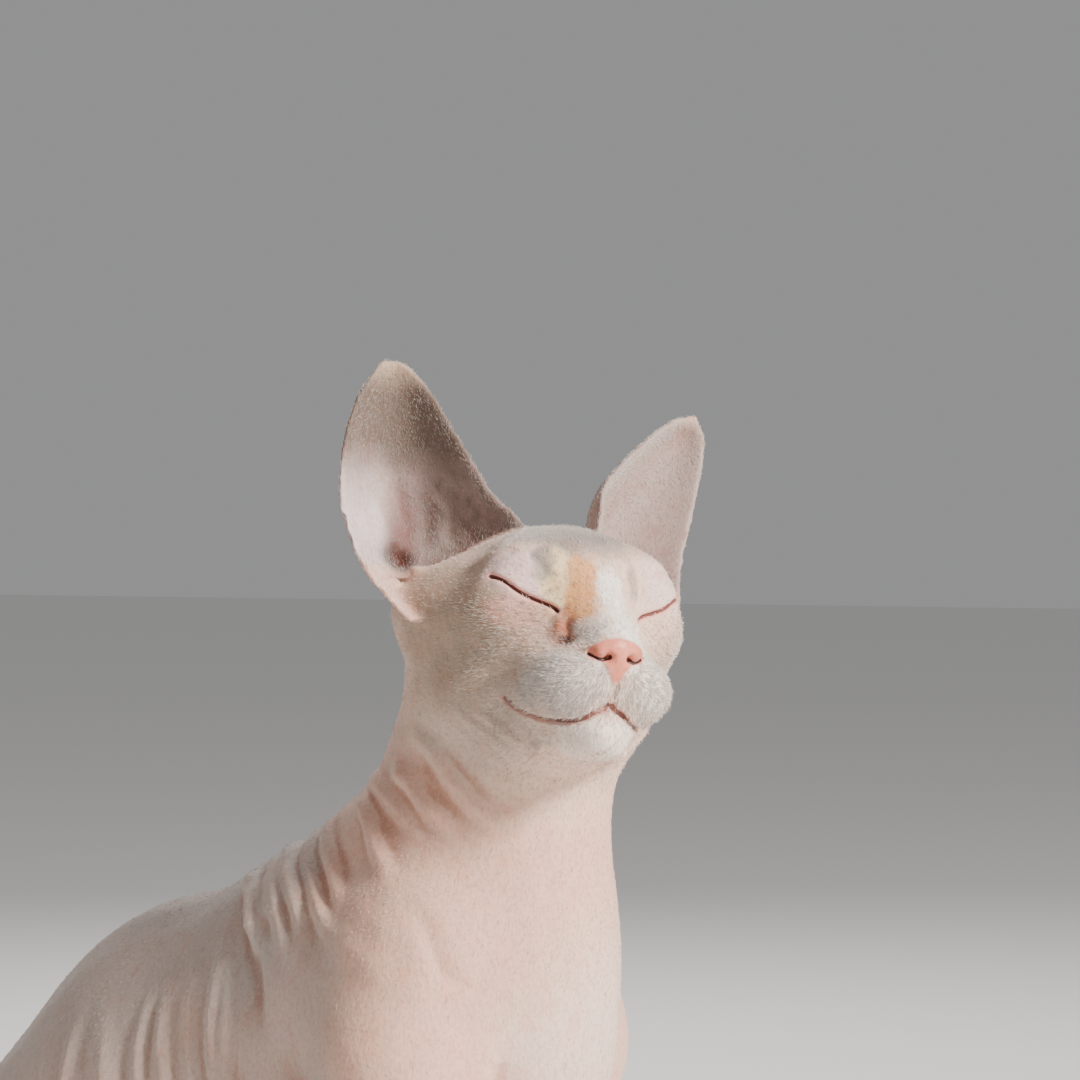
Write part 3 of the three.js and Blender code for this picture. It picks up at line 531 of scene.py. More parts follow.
drawn_lines = {"slit": [], "lips": [], "nostril": []}
hide = Hide(skin)
for turn in (list, mirrored):
    slit = head_course(turn(SLIT))
    drawn_lines["slit"].append(hide.sunk_line(slit, 0.9))
    hide.fold(slit, 0.5, 2.6, taper=0.15)
    hide.fold(slit, -1.9, 0.62, taper=0.06)
    for course, height, width in FACE_CREASES:
        hide.fold(head_course(turn(course)), height, width)
    lip = head_course(turn(LIP_LINE))
    drawn_lines["lips"].append(hide.sunk_line(lip, 0.9))
    hide.fold(lip, -2.2, 0.8, taper=0.05)
    hide.fold(lip, 0.5, 3.2, taper=0.2)
    for course in JOWL_FOLDS:
        hide.fold(head_course(turn(course)), 1.0, 1.9, trough=0.7)
draw = np.random.default_rng(23)
for _ in range(JOWL_BUMPS):
    side = draw.choice((-1, 1))
    place = on_head(side * draw.uniform(5, 17), draw.uniform(20, 32), draw.uniform(-39, -33))
    hide.mound(place, draw.uniform(0.3, 0.9), draw.uniform(1.0, 1.8))
for turn in (list, mirrored):
    for row in range(WHISKER_ROWS):
        for spot in range(WHISKERS_A_ROW):
            whisker = (-7.5 - 2.7 * spot, 49 - 1.9 * spot - 0.5 * row, -14.5 - 3.0 * row + 0.5 * spot)
            hide.mound(on_head(*turn([whisker])[0]), -0.4, 0.6)
hide.fold(head_course(PHILTRUM), -1.0, 0.7, taper=0.1)
hide.work()

# The nose leather is a bare, slightly moist pad, broad above and narrowing to the lip's
# groove, with a comma-shaped nostril on each side whose tail runs back under the wing.
NOSE_HALF = ((4.6, -6.4), (8.4, -8.4), (9.6, -10.4), (7.6, -12.2), (4.6, -13.0), (2.6, -15.2), (0.9, -18.4))
NOSE_OUTLINE = ((0.0, -5.8), *NOSE_HALF, *((-across, up) for across, up in reversed(NOSE_HALF)))
NOSE_FRONT = 43
NOSE_RISE = 0.9
NOSTRIL = (-3.4, 51.0, -11.4)
NOSTRIL_TAIL = ((-3.0, 51.2, -11.8), (-5.1, 50.0, -12.2), (-7.0, 49.0, -11.4), (-9.2, 47.4, -9.9))
NOSE_WING = (-6.0, 49.8, -9.2)


def outline_depth(across, up, outline):
    """How far inside a closed outline a place is, in millimetres, and negative outside it."""
    inside = np.zeros(len(across), bool)
    nearest = np.full(len(across), np.inf)
    for (x0, y0), (x1, y1) in zip(outline, outline[1:] + outline[:1]):
        spans = (y0 > up) != (y1 > up)
        slope = (x1 - x0) / (y1 - y0) if y1 != y0 else 0
        inside ^= spans & (across < x0 + slope * (up - y0))
        along = np.clip(
            ((across - x0) * (x1 - x0) + (up - y0) * (y1 - y0)) / ((x1 - x0) ** 2 + (y1 - y0) ** 2),
            0,
            1,
        )
        gap = np.hypot(across - x0 - along * (x1 - x0), up - y0 - along * (y1 - y0))
        nearest = np.minimum(nearest, gap)
    return np.where(inside, nearest, -nearest)


def nose_leather(points):
    """1 on the nose leather, 0 off it, with an edge under a millimetre wide."""
    left, forward, up = head_measure(points).T
    depth = outline_depth(left, up, NOSE_OUTLINE)
    return np.where(forward > NOSE_FRONT, np.clip(0.5 + depth / 0.8, 0, 1), 0)


hide = Hide(skin)
hide.lift += NOSE_RISE * nose_leather(hide.points)
for turn in (list, mirrored):
    nostril, wing = turn([NOSTRIL, NOSE_WING])
    hide.mound(on_head(*wing), 0.7, 1.9)
    hide.mound(on_head(*nostril), -2.4, 1.25)
    tail = head_course(turn(NOSTRIL_TAIL))
    drawn_lines["nostril"].append(hide.sunk_line(tail, 0.8))
    hide.fold(tail, -1.5, 0.75, taper=0.1)
hide.work()

# Each ear is a thin cup of gristle under bare skin. Ridges run up its inside from the ear
# hole, knobs stand round the hole, and a small pocket folds the outer edge near the base.
RIGHT_EAR_RIDGES = (
    ((-33.5, -16.8, 51.7), (-29.7, -17.0, 42.7), (-29.3, -17.3, 33.4), (-32.5, -16.9, 26.6)),
    ((-54.0, -19.0, 56.0), (-50.6, -21.1, 44.1), (-46.8, -21.4, 35.2), (-44.6, -19.7, 28.8)),
)
RIGHT_EAR_GROOVE = ((-45.1, -21.2, 56.3), (-40.9, -22.4, 45.6), (-38.1, -22.0, 36.4), (-38.6, -19.0, 28.0))
RIGHT_EAR_KNOBS = (
    ((-47.6, -7.6, 15.6), 2.0, 2.5),
    ((-41.2, -5.5, 19.4), 2.4, 2.4),
    ((-52.5, -9.0, 19.5), 1.2, 2.6),
    ((-43.0, -19.8, 32.0), 1.5, 1.5),
)
EAR_POCKET = ((-63.2, -11.8, 40.5), (-63.9, -10.9, 34.0), (-63.0, -9.3, 27.7), (-61.0, -7.5, 22.2))
LEFT_EAR_HOLE = (31.0, -7.0, 27.0)
LEFT_EAR_RIDGE = ((33.0, -9.0, 62.0), (29.0, -10.0, 50.0), (27.5, -9.0, 38.0), (29.0, -7.0, 30.0))

hide = Hide(skin)
for course in RIGHT_EAR_RIDGES:
    hide.fold(head_course(course), 1.1, 2.6)
hide.fold(head_course(RIGHT_EAR_GROOVE), -1.0, 2.6)
hole = on_head(*EAR_HOLE)
hide.press(hole, hole - on_head(-58, 12, 30), 5.0, 4.2)
for place, height, width in RIGHT_EAR_KNOBS:
    hide.mound(on_head(*place), height, width)
hide.fold(head_course(EAR_POCKET), -1.0, 1.4)
left_hole = on_head(*LEFT_EAR_HOLE)
hide.press(left_hole, left_hole - on_head(40, 22, 32), 3.0, 4.0)
hide.fold(head_course(LEFT_EAR_RIDGE), 0.9, 2.6)
hide.work()

# Nothing of the skin passes the floor that the cat sits on.
SKIN_OFF_FLOOR = 0.15 * MM
pressed = points_of(skin)
pressed[:, 2] = np.maximum(pressed[:, 2], SKIN_OFF_FLOOR)
move_points(skin, pressed)

# The finished hide is thinned to the points that its shape needs, closest on the face, then
# on the rest of the head and the ears.
SKIN_FACES = 190000
THINNING = {"face": 0.1, "head": 0.5, "body": 0.8}
KEEP_CLOSE = 1e-4


def part_of_head(points):
    left, forward, up = head_measure(points).T
    return (up > -32) & (forward > -35) | (up > 5)


thinning = skin.vertex_groups.new(name="thinning")
corners = points_of(skin)
face = np.linalg.norm(head_measure(corners) - FACE_MIDDLE, axis=1) < FACE_REACH
head = part_of_head(corners) & ~face
thinning.add(np.where(face)[0].tolist(), THINNING["face"], "REPLACE")
thinning.add(np.where(head)[0].tolist(), THINNING["head"], "REPLACE")
thinning.add(np.where(~head & ~face)[0].tolist(), THINNING["body"], "REPLACE")
triangles = sum(len(polygon.vertices) - 2 for polygon in skin.data.polygons)
apply_modifier(
    skin,
    "DECIMATE",
    ratio=SKIN_FACES / triangles,
    vertex_group="thinning",
    vertex_group_factor=KEEP_CLOSE,
)
skin.vertex_groups.clear()

# The markings are those of a pale cat with faded tortoiseshell patches: pink hide, a white
# blaze, muzzle and chest, orange and cream beside the nose, and blue-grey on crown, ears,
# back and tail. Painted shade is added in the ear hole, in the near ear's upper cup and groove,
# and on the near cheek. The same rule gives the colour of the skin and of the down that grows there.
def dye(red, green, blue):
    return np.array([((level / 255 + 0.055) / 1.055) ** 2.4 for level in (red, green, blue)])


BARE_PINK = dye(226, 182, 161)
FACE_CREAM = dye(228, 200, 180)
WHITE = dye(243, 234, 226)
CREAM = dye(234, 208, 160)
ORANGE = dye(216, 150, 88)
TEAR_BROWN = dye(172, 84, 40)
DARK_BROWN = dye(80, 34, 20)
BLUE_GREY = dye(128, 120, 116)
SOFT_GREY = dye(178, 168, 162)
LILAC = dye(224, 194, 192)
LID_PINK = dye(226, 156, 142)
LIP_PINK = dye(196, 128, 116)
PAD_GREY = dye(208, 200, 196)
CHEEK_BROWN = dye(146, 122, 100)
EAR_BROWN = dye(92, 74, 62)
EAR_LILAC = dye(216, 200, 200)
EAR_GREY = dye(150, 136, 134)
EAR_RIM = dye(212, 184, 156)
EAR_GROOVE_SHADE = dye(104, 52, 44)
EAR_HOLE_SHADE = dye(36, 12, 10)
NOSE_SALMON = dye(222, 136, 112)
NOSE_DEEP = dye(150, 70, 52)
# Dark red of the shut lids' slit and of the lip line: partly their own colour, partly painted shade in the
# grooves.
SLIT_RED_AND_SHADE = dye(96, 34, 30)
LIP_RED_AND_SHADE = dye(84, 34, 30)
# Painted shade in the nostril's opening and its tail.
NOSTRIL_SHADE = dye(58, 18, 14)
DOWN_PALE = dye(244, 236, 226)
HORN_PALE = dye(226, 208, 190)
HORN_PINK = dye(178, 140, 126)

# Each patch: its middle and half sizes as left, forward and up, its colour and its strength
BODY_PATCHES = (
    ((0, -110, 200), (60, 90, 70), SOFT_GREY, 0.75),
    ((-30, -45, 250), (40, 30, 34), SOFT_GREY, 0.65),
    ((34, -50, 250), (34, 40, 36), CREAM, 0.3),
    ((-52, -22, 205), (26, 34, 46), SOFT_GREY, 0.55),
    ((0, -190, 120), (60, 50, 70), BLUE_GREY, 0.55),
    ((60, -150, 100), (30, 60, 50), ORANGE, 0.35),
    ((-58, -140, 90), (30, 50, 50), BLUE_GREY, 0.4),
    ((90, -170, 10), (60, 130, 26), BLUE_GREY, 0.7),
    ((0, 45, 190), (34, 40, 60), WHITE, 0.35),
    ((0, 30, 30), (60, 60, 34), WHITE, 0.5),
)
HEAD_PATCHES = (
    ((0, 20, -4), (60, 60, 46), FACE_CREAM, 0.75),
    # The near cheek's brown is partly its own colour and partly painted shade, which makes it stronger than
    # on the far cheek.
    ((-36, 10, 2), (14, 22, 26), CHEEK_BROWN, 0.7),
    ((-30, 22, 3), (7, 9, 12), CHEEK_BROWN, 0.35),
    ((38, 10, 2), (13, 22, 26), CHEEK_BROWN, 0.35),
    ((-20, 8, -30), (22, 26, 12), SOFT_GREY, 0.35),
    ((-3, 20, 31), (22, 17, 11), BLUE_GREY, 0.85),
    ((-4, 29, 25), (15, 9, 7), BLUE_GREY, 0.6),
    ((-23, 30, 15), (10, 10, 9), LILAC, 0.85),
    ((23, 30, 15), (10, 10, 9), LILAC, 0.75),
    ((-24, 29, 4), (9, 8, 5), LID_PINK, 0.45),
    ((-13, 35, 13), (5.5, 8, 10), CREAM, 0.85),
    ((-17, 33, 18.5), (3.2, 6, 6), BLUE_GREY, 0.75),
    ((-6, 38, 15), (4.6, 9, 6.8), ORANGE, 0.8),
    ((-8, 40, 6), (4.2, 9, 7.0), ORANGE, 0.85),
    ((-11.8, 38.5, -2.8), (2.8, 6, 7.0), TEAR_BROWN, 0.8),
    ((11.8, 38.5, -2.4), (2.4, 5, 5.0), TEAR_BROWN, 0.35),
    ((-6, 45, -3), (5, 8, 4.4), PAD_GREY, 0.7),
    ((1.4, 41, 10), (3.8, 9, 9), WHITE, 1.0),
    ((3.4, 47, -3), (6.4, 10, 8), WHITE, 1.0),
    ((11, 42, -12), (9, 14, 14), WHITE, 0.95),
    ((10.6, 36.5, 15), (1.9, 5, 6.5), BLUE_GREY, 0.6),
    ((-12, 42, -19), (14, 15, 11), PAD_GREY, 0.85),
    ((12, 42, -20), (13, 15, 11), PAD_GREY, 0.5),
    ((0, 40, -34), (13, 14, 6), WHITE, 0.7),
    ((-11.8, 38.3, -5.6), (1.6, 4, 2.0), DARK_BROWN, 0.85),
)
SPECKS = (
    (-27.3, 29.6, 7.4),
    (-22.6, 31.3, 5.8),
    (-19.6, 31.4, 2.8),
    (-23.3, 29.6, 2.7),
    (-8.0, 37.5, 16.2),
    (-9.5, 38.1, 11.8),
    (-15.3, 34.8, 9.9),
    (-4.0, 48.4, -1.9),
    (11.2, 38.2, 0.9),
    (-59.0, -4.2, 17.4),
    (-2.6, 40.4, -39.0),
    (-1.6, 42.0, -38.5),
    (-0.4, 43.4, -38.0),
    (0.8, 44.8, -37.0),
    (1.9, 45.8, -35.8),
)
SPECK_SIZE = 0.6
DRIFT_WAVES = 7
EAR_FOOT = 18
EAR_HEIGHT = 66


def drift(places, size, seed):
    """A smooth random field from -1 to 1 over places in millimetres, with swells of a given size."""
    draw = np.random.default_rng(seed)
    field = np.zeros(len(places))
    for _ in range(DRIFT_WAVES):
        direction = draw.normal(size=3)
        direction /= np.linalg.norm(direction)
        wave = 2 * np.pi / (size * draw.uniform(0.7, 1.5))
        field += np.sin(places @ direction * wave + draw.uniform(0, 6.28))
    return field / 4


def step_between(values, start, end):
    share = np.clip((values - start) / (end - start), 0, 1)
    return share * share * (3 - 2 * share)


def tinted(colours, amounts, colour):
    amounts = amounts[:, None]
    return colours * (1 - amounts) + colour * amounts


def patched(colours, places, patches, edge, ragged):
    for number, (middle, half, colour, strength) in enumerate(patches):
        reach = np.linalg.norm((places - np.array(middle)) / np.array(half), axis=1)
        reach += ragged * drift(places, 1.1 * min(half), number + 3)
        colours = tinted(colours, strength * step_between(reach, 1 + edge, 1 - edge), colour)
    return colours


def ear_colours_and_shade(colours, place, facing, over_ear):
    left, forward, up = place.T
    lateral = np.abs(left)
    inside = over_ear * step_between(facing[:, 1], -0.15, 0.15)
    outside = over_ear - inside
    height = (up - EAR_FOOT) / EAR_HEIGHT
    mottle = 0.5 + 0.5 * drift(place, 5, 91)
    streaks = 0.5 + 0.5 * drift(place * (1, 1, 0.35), 3, 17)
    colours = tinted(colours, outside * (0.55 + 0.2 * mottle), EAR_GREY)
    colours = tinted(colours, inside * 0.85, EAR_GREY)
    near_ear = inside * (left < 0)
    # Painted shade, with some dark hair colour, in the near ear's upper cup: its upper inside is darkened
    # brown.
    upper_shade = step_between(height + 0.08 * drift(place, 14, 5), 0.42, 0.7)
    colours = tinted(colours, near_ear * upper_shade * 0.85, EAR_BROWN)
    pale = step_between(lateral, 43, 49) * step_between(height, 0.62, 0.25)
    colours = tinted(colours, near_ear * pale * 0.9, EAR_LILAC)
    inner = step_between(lateral, 38, 31) * step_between(height, 0.85, 0.5)
    colours = tinted(colours, near_ear * inner * (0.35 + 0.6 * mottle * streaks), EAR_BROWN)
    # Painted shade in the groove between the near ear's ridges, deep reddish brown.
    groove = np.exp(-(((lateral - 40) / 4.5) ** 2)) * step_between(height, 0.62, 0.2)
    colours = tinted(colours, near_ear * groove * 0.8, EAR_GROOVE_SHADE)
    base = step_between(height, 0.12, 0.0)
    colours = tinted(colours, inside * base * 0.75, BARE_PINK)
    rim = step_between(height, 0.86, 1.04)
    colours = tinted(colours, over_ear * rim * 0.6, EAR_RIM)
    # Painted shade in the near ear's hole.
    hole = np.linalg.norm(place - np.array(EAR_HOLE), axis=1)
    colours = tinted(colours, np.exp(-((hole / 5.5) ** 2)), EAR_HOLE_SHADE)
    return colours


def marking_and_shade(points, normals, owners):
    """The colour of the cat at each point of its skin, with painted shade in the ear hole, in the near
    ear's cup and groove, and on the near cheek.
    """
    body = body_measure(points)
    place = head_measure(points)
    facing = head_measure(normals * MM + np.array(HEAD_PLACE))
    over_head = np.array([name.split("_")[0] in ("head", "eyelid", "nose") for name in owners], float)
    over_ear = np.array([name.startswith("ear") for name in owners], float)
    colours = np.tile(BARE_PINK, (len(points), 1))
    colours = patched(colours, body, BODY_PATCHES, edge=0.25, ragged=0.12)
    headed = patched(colours, place, HEAD_PATCHES, edge=0.42, ragged=0.24)
    near_head = step_between(np.linalg.norm(place - np.array((0, 8, 0)), axis=1), 66, 50)
    amount = np.maximum(over_head, near_head)[:, None]
    colours = colours * (1 - amount) + headed * amount
    colours = ear_colours_and_shade(colours, place, facing, over_ear)
    for speck in SPECKS:
        distance = np.linalg.norm(place - np.array(speck), axis=1)
        colours = tinted(colours, 0.8 * np.exp(-((distance / SPECK_SIZE) ** 2)), DARK_BROWN)
    leather = nose_leather(points)
    depth = step_between(place[:, 2], -12, -18) * 0.3 + step_between(np.abs(place[:, 0]), 3, 9) * 0.35
    colours = tinted(colours, leather, NOSE_SALMON)
    colours = tinted(colours, leather * depth, NOSE_DEEP)
    return np.clip(colours, 0, 1)


def keep_colour(piece, name, colours):
    layer = piece.data.attributes.new(name, "FLOAT_COLOR", "POINT")
    full = np.ones((len(colours), 4), np.float32)
    full[:, :3] = colours
    layer.data.foreach_set("color", full.ravel())


def keep_value(piece, name, values):
    layer = piece.data.attributes.new(name, "FLOAT", "POINT")
    layer.data.foreach_set("value", values.astype(np.float32))


finished = Hide(skin)
skin_owners = solid_under(finished.points)
keep_colour(skin, "marking_and_shade", marking_and_shade(finished.points, finished.normals, skin_owners))
# Painted shade: how far each point lies sunk below its smoothed neighbours, kept so that creases and
# hollows can be darkened.
smoothed = evened(finished.points, edges_of(skin), np.full(len(finished.points), 0.6), 6)
hollow_shade = ((smoothed - finished.points) * finished.normals).sum(axis=1) / MM
keep_value(skin, "hollow_shade", evened(hollow_shade[:, None], edges_of(skin), np.full(len(hollow_shade), 0.5), 3)[:, 0])
FAR_OFF = 9.0


def distance_to(lines):
    """How far each point of the skin is from the nearest of some lines, in millimetres."""
    nearest = np.full(len(finished.points), FAR_OFF)
    for line in lines:
        low = line.min(axis=0) - FAR_OFF * MM
        high = line.max(axis=0) + FAR_OFF * MM
        within = np.all((finished.points > low) & (finished.points < high), axis=1)
        index = np.where(within)[0]
        for start, end in zip(line[:-1], line[1:]):
            step = end - start
            offset = finished.points[index] - start
            share = np.clip(offset @ step / max(step @ step, 1e-12), 0, 1)
            distance = np.linalg.norm(offset - share[:, None] * step, axis=1) / MM
            nearest[index] = np.minimum(nearest[index], distance)
    return nearest


line_distances = {kind: distance_to(lines) for kind, lines in drawn_lines.items()}
for kind, distances in line_distances.items():
    keep_value(skin, "from_" + kind, distances)
keep_value(skin, "leather", nose_leather(finished.points))

# The hide itself is warm, slightly see-through skin with fine pores and crinkles under a
# peach-fuzz sheen; creases are darkened and reddened with painted shade, the lid and lip lines
# are darkest, partly their own colour and partly painted shade, and the nostril line is painted shade.
hide_finish, net, shader = new_finish("hide")


def node(kind, **settings):
    made = net.nodes.new(kind)
    for setting, value in settings.items():
        setattr(made, setting, value)
    return made


def attribute(name):
    return node("ShaderNodeAttribute", attribute_name=name).outputs


def spread_over(source, low, high, to_low, to_high):
    scale = node("ShaderNodeMapRange", interpolation_type="SMOOTHSTEP")
    net.links.new(source, scale.inputs["Value"])
    for socket, value in zip(("From Min", "From Max", "To Min", "To Max"), (low, high, to_low, to_high)):
        scale.inputs[socket].default_value = value
    return scale.outputs["Result"]


def noise(coordinates, scale, detail, roughness=0.55):
    made = node("ShaderNodeTexNoise")
    net.links.new(coordinates, made.inputs["Vector"])
    set_inputs(made, Scale=scale, Detail=detail, Roughness=roughness)
    return made.outputs["Fac"]


def feed(sockets, values):
    for socket, value in zip(sockets, values):
        if isinstance(value, bpy.types.NodeSocket):
            net.links.new(value, socket)
        else:
            socket.default_value = value


def mixed(first, second, amount, blend="MIX"):
    mix = node("ShaderNodeMix", data_type="RGBA", blend_type=blend)
    feed((mix.inputs[0], mix.inputs[6], mix.inputs[7]), (amount, first, second))
    return mix.outputs[2]


def combined(operation, first, second):
    made = node("ShaderNodeMath", operation=operation)
    feed(made.inputs, (first, second))
    return made.outputs[0]


def solid_colour(colour):
    return (*[float(level) for level in colour], 1.0)


# The slit and lip lines' dark red is partly their own colour and partly painted shade in the grooves; the
# nostril line is painted shade.
# Round each line: where its colour starts and is full, in millimetres off it, and how strong
LINE_COLOURS = (
    ("slit", 2.4, 1.1, 0.65, LID_PINK),
    ("slit", 0.92, 0.66, 0.9, SLIT_RED_AND_SHADE),
    ("lips", 2.2, 1.1, 0.55, LIP_PINK),
    ("lips", 1.0, 0.66, 0.7, LIP_RED_AND_SHADE),
    # Painted shade in the nostril's opening and tail.
    ("nostril", 0.95, 0.72, 1.0, NOSTRIL_SHADE),
)
here = node("ShaderNodeTexCoord").outputs["Object"]
stretched = node("ShaderNodeMapping")
net.links.new(here, stretched.inputs["Vector"])
stretched.inputs["Scale"].default_value = (1.0, 1.0, 0.35)
blotches = noise(here, 160, 3)
mottle = noise(here, 700, 3, 0.65)
lie = noise(stretched.outputs["Vector"], 900, 2)
colour = attribute("marking_and_shade")["Color"]
flush = spread_over(blotches, 0.48, 0.72, 0.0, 0.55)
colour = mixed(colour, (1.0, 0.82, 0.78, 1), flush, "MULTIPLY")
colour = mixed(colour, (1.07, 1.06, 1.05, 1), spread_over(mottle, 0.45, 0.7, 0, 1), "MULTIPLY")
colour = mixed(colour, (0.90, 0.87, 0.85, 1), spread_over(mottle, 0.52, 0.3, 0, 1), "MULTIPLY")
colour = mixed(colour, (0.93, 0.91, 0.90, 1), spread_over(lie, 0.5, 0.34, 0, 1), "MULTIPLY")
# Painted shade: creases and hollows are darkened and reddened, as light glowing through the thin skin of
# the folds looks.
painted_crease_shade = spread_over(attribute("hollow_shade")["Fac"], 0.04, 0.34, 0.0, 0.6)
colour = mixed(colour, (0.62, 0.36, 0.28, 1), painted_crease_shade, "MULTIPLY")
for kind, starts, full, strength, dyed in LINE_COLOURS:
    amount = spread_over(attribute("from_" + kind)["Fac"], starts, full, 0.0, strength)
    colour = mixed(colour, solid_colour(dyed), amount)
net.links.new(colour, shader.inputs["Base Color"])
net.links.new(spread_over(attribute("leather")["Fac"], 0, 1, 0.62, 0.38), shader.inputs["Roughness"])
set_inputs(shader, Subsurface_Weight=0.18, Subsurface_Radius=(1.0, 0.35, 0.2), Subsurface_Scale=0.004)
set_inputs(shader, Specular_IOR_Level=0.35)
set_inputs(shader, Sheen_Weight=0.25, Sheen_Roughness=0.45, Sheen_Tint=(1.0, 0.93, 0.88, 1))
pores = node("ShaderNodeTexVoronoi")
net.links.new(here, pores.inputs["Vector"])
pores.inputs["Scale"].default_value = 1100
crinkle = combined("ADD", combined("MULTIPLY", noise(here, 480, 5, 0.6), 1.6), lie)
grain = combined("ADD", crinkle, combined("MULTIPLY", pores.outputs["Distance"], 0.35))
bump = node("ShaderNodeBump")
set_inputs(bump, Strength=0.55, Distance=0.00022)
net.links.new(grain, bump.inputs["Height"])
net.links.new(bump.outputs["Normal"], shader.inputs["Normal"])
skin.data.materials.append(hide_finish)

# The claws are slender hooks of pale horn, drawn back into the toes so that little more than
# their tips shows: five on each forepaw with the dewclaw, and four on each hind foot.
CLAW_LENGTH = 5.2
CLAW_ROOT = 1.05
CLAW_POINT = 0.12
CLAW_HOOK = 1.5
CLAW_NARROWING = 0.62
CLAW_TILT = 118
CLAW_CUTS = (-1.1, 0.9)
TOE_GAP_ACROSS = {"fore": 7.0, "hind": 6.6}
TOE_FRONT = {"fore": (30, 42 + 9.2, 8.6), "hind": (57, -51 + 9.2, 8.0)}
TOE_STATIONS = ((-1.5, -4.5), (-0.5, 0.0), (0.5, 0.0), (1.5, -4.5))
DEWCLAW = (21.5, 26.0, 26.0)

bpy.ops.object.select_all(action="DESELECT")
bpy.ops.mesh.primitive_cone_add(
    vertices=10,
    radius1=CLAW_ROOT * MM,
    radius2=CLAW_POINT * MM,
    depth=CLAW_LENGTH * MM,
    location=(0, 0, 0),
)
claw = bpy.context.object
claw.name = "claw"
bpy.ops.object.mode_set(mode="EDIT")
for cut in CLAW_CUTS:
    bpy.ops.mesh.select_all(action="SELECT")
    bpy.ops.mesh.bisect(plane_co=(0, 0, cut * MM), plane_no=(0, 0, 1))
bpy.ops.object.mode_set(mode="OBJECT")
horn = points_of(claw)
rise = (horn[:, 2] / MM + CLAW_LENGTH / 2) / CLAW_LENGTH
horn[:, 0] *= CLAW_NARROWING
horn[:, 1] += CLAW_HOOK * MM * rise**2
move_points(claw, horn)
claw_places = []
for side in (-1, 1):
    for foot, (left, forward, up) in TOE_FRONT.items():
        for across, behind in TOE_STATIONS:
            toe = (side * left + across * TOE_GAP_ACROSS[foot], forward + behind, up)
            claw_places.append((toe, 0.12 * across))
    claw_places.append(((side * DEWCLAW[0], DEWCLAW[1], DEWCLAW[2]), 0.0))
claw_meshes = []
for (left, forward, up), splay in claw_places:
    copy = bpy.data.objects.new("claw_copy", claw.data.copy())
    bpy.context.scene.collection.objects.link(copy)
    turn = Euler((math.radians(CLAW_TILT), 0, splay)).to_matrix().to_4x4()
    copy.data.transform(Matrix.Translation(on_body(left, forward, up)) @ turn)
    claw_meshes.append(copy)
bpy.data.objects.remove(claw)
bpy.ops.object.select_all(action="DESELECT")
for copy in claw_meshes:
    copy.select_set(True)
bpy.context.view_layer.objects.active = claw_meshes[0]
bpy.ops.object.join()
claws = bpy.context.object
claws.name = "claws"
bpy.ops.object.shade_smooth()
horn_finish, net, shader = new_finish("pale_horn")
here = node("ShaderNodeTexCoord").outputs["Object"]
grain = noise(here, 900, 3)
horn_colour = mixed(solid_colour(HORN_PALE), solid_colour(HORN_PINK), grain)
net.links.new(horn_colour, shader.inputs["Base Color"])
set_inputs(shader, Roughness=0.32, Subsurface_Weight=0.1, Subsurface_Scale=0.001)
claws.data.materials.append(horn_finish)
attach(claws, "root")

# The down is a peach fuzz of single fine hairs, longest and standing most on the whisker
# pads and cheeks, shorter on ears and forelegs, and lying flat from the head to the tail.
# Each is a three-sided spike of two rings and a tip, with its own small patch on the map.
HAIR_SIDES = 3
HAIR_POINTS = 7
HAIR_FACES = ((2, 1, 0), (0, 1, 4, 3), (1, 2, 5, 4), (2, 0, 3, 5), (3, 4, 6), (4, 5, 6), (5, 3, 6))
HAIR_SPREAD = ((0, 0), (1, 0), (0, 1), (0, 0.5), (1, 0.5), (0.5, 1), (0.5, 0.5))
PATCH_SIDE = 0.003
ROOT_SINK = 0.12 * MM
CLEAR_OF_LINES = 1.3
MAP_SHARE = 0.07
DOWN_REGIONS = {
    "down_face": ("head", "nose", "eyelid"),
    "down_ears": ("ear",),
    "down_neck": ("neck",),
    "down_trunk": ("torso",),
    "down_forelegs": ("shoulder", "forearm", "forepaw"),
    "down_hindlegs": ("hindleg", "hindfoot"),
    "down_tail": ("tail",),
}
# For each region: hairs, length in millimetres, thickness at the root, and rise in degrees
DOWN_GROWTH = {
    "down_face": (19800, 1.7, 0.085, 26),
    "down_ears": (17000, 1.3, 0.080, 24),
    "down_neck": (11000, 1.6, 0.080, 14),
    "down_trunk": (19000, 1.7, 0.085, 14),
    "down_forelegs": (14000, 1.4, 0.085, 14),
    "down_hindlegs": (14000, 1.5, 0.085, 14),
    "down_tail": (6000, 1.6, 0.090, 16),
}
PAD_MIDDLES = ((-12, 44, -19), (12, 44, -19))


def down_thickness(points, facing):
    """How thickly the down grows on the face and ears, against the rest, and how long."""
    place = head_measure(points)
    pads = np.zeros(len(points))
    for middle in PAD_MIDDLES:
        away = np.linalg.norm((place - np.array(middle)) / (13, 14, 10), axis=1)
        pads = np.maximum(pads, np.exp(-(away**2)))
    cheeks = np.exp(-(((np.abs(place[:, 0]) - 26) / 11) ** 2 + ((place[:, 1] - 22) / 14) ** 2))
    cheeks *= step_between(place[:, 2], 12, 0)
    bare = nose_leather(points)
    thick = (0.35 + 3.2 * pads + 1.5 * cheeks) * (1 - bare)
    long = 1 + 0.45 * pads + 0.5 * cheeks
    stand = 1 + 0.7 * pads
    inside_ear = step_between(facing[:, 1], -0.1, 0.2) * step_between(place[:, 2], 24, 30)
    deep = step_between(np.abs(place[:, 0]), 34, 42) * step_between(place[:, 2], 66, 40)
    thick *= 1 - 0.85 * inside_ear * deep
    return thick, long, stand


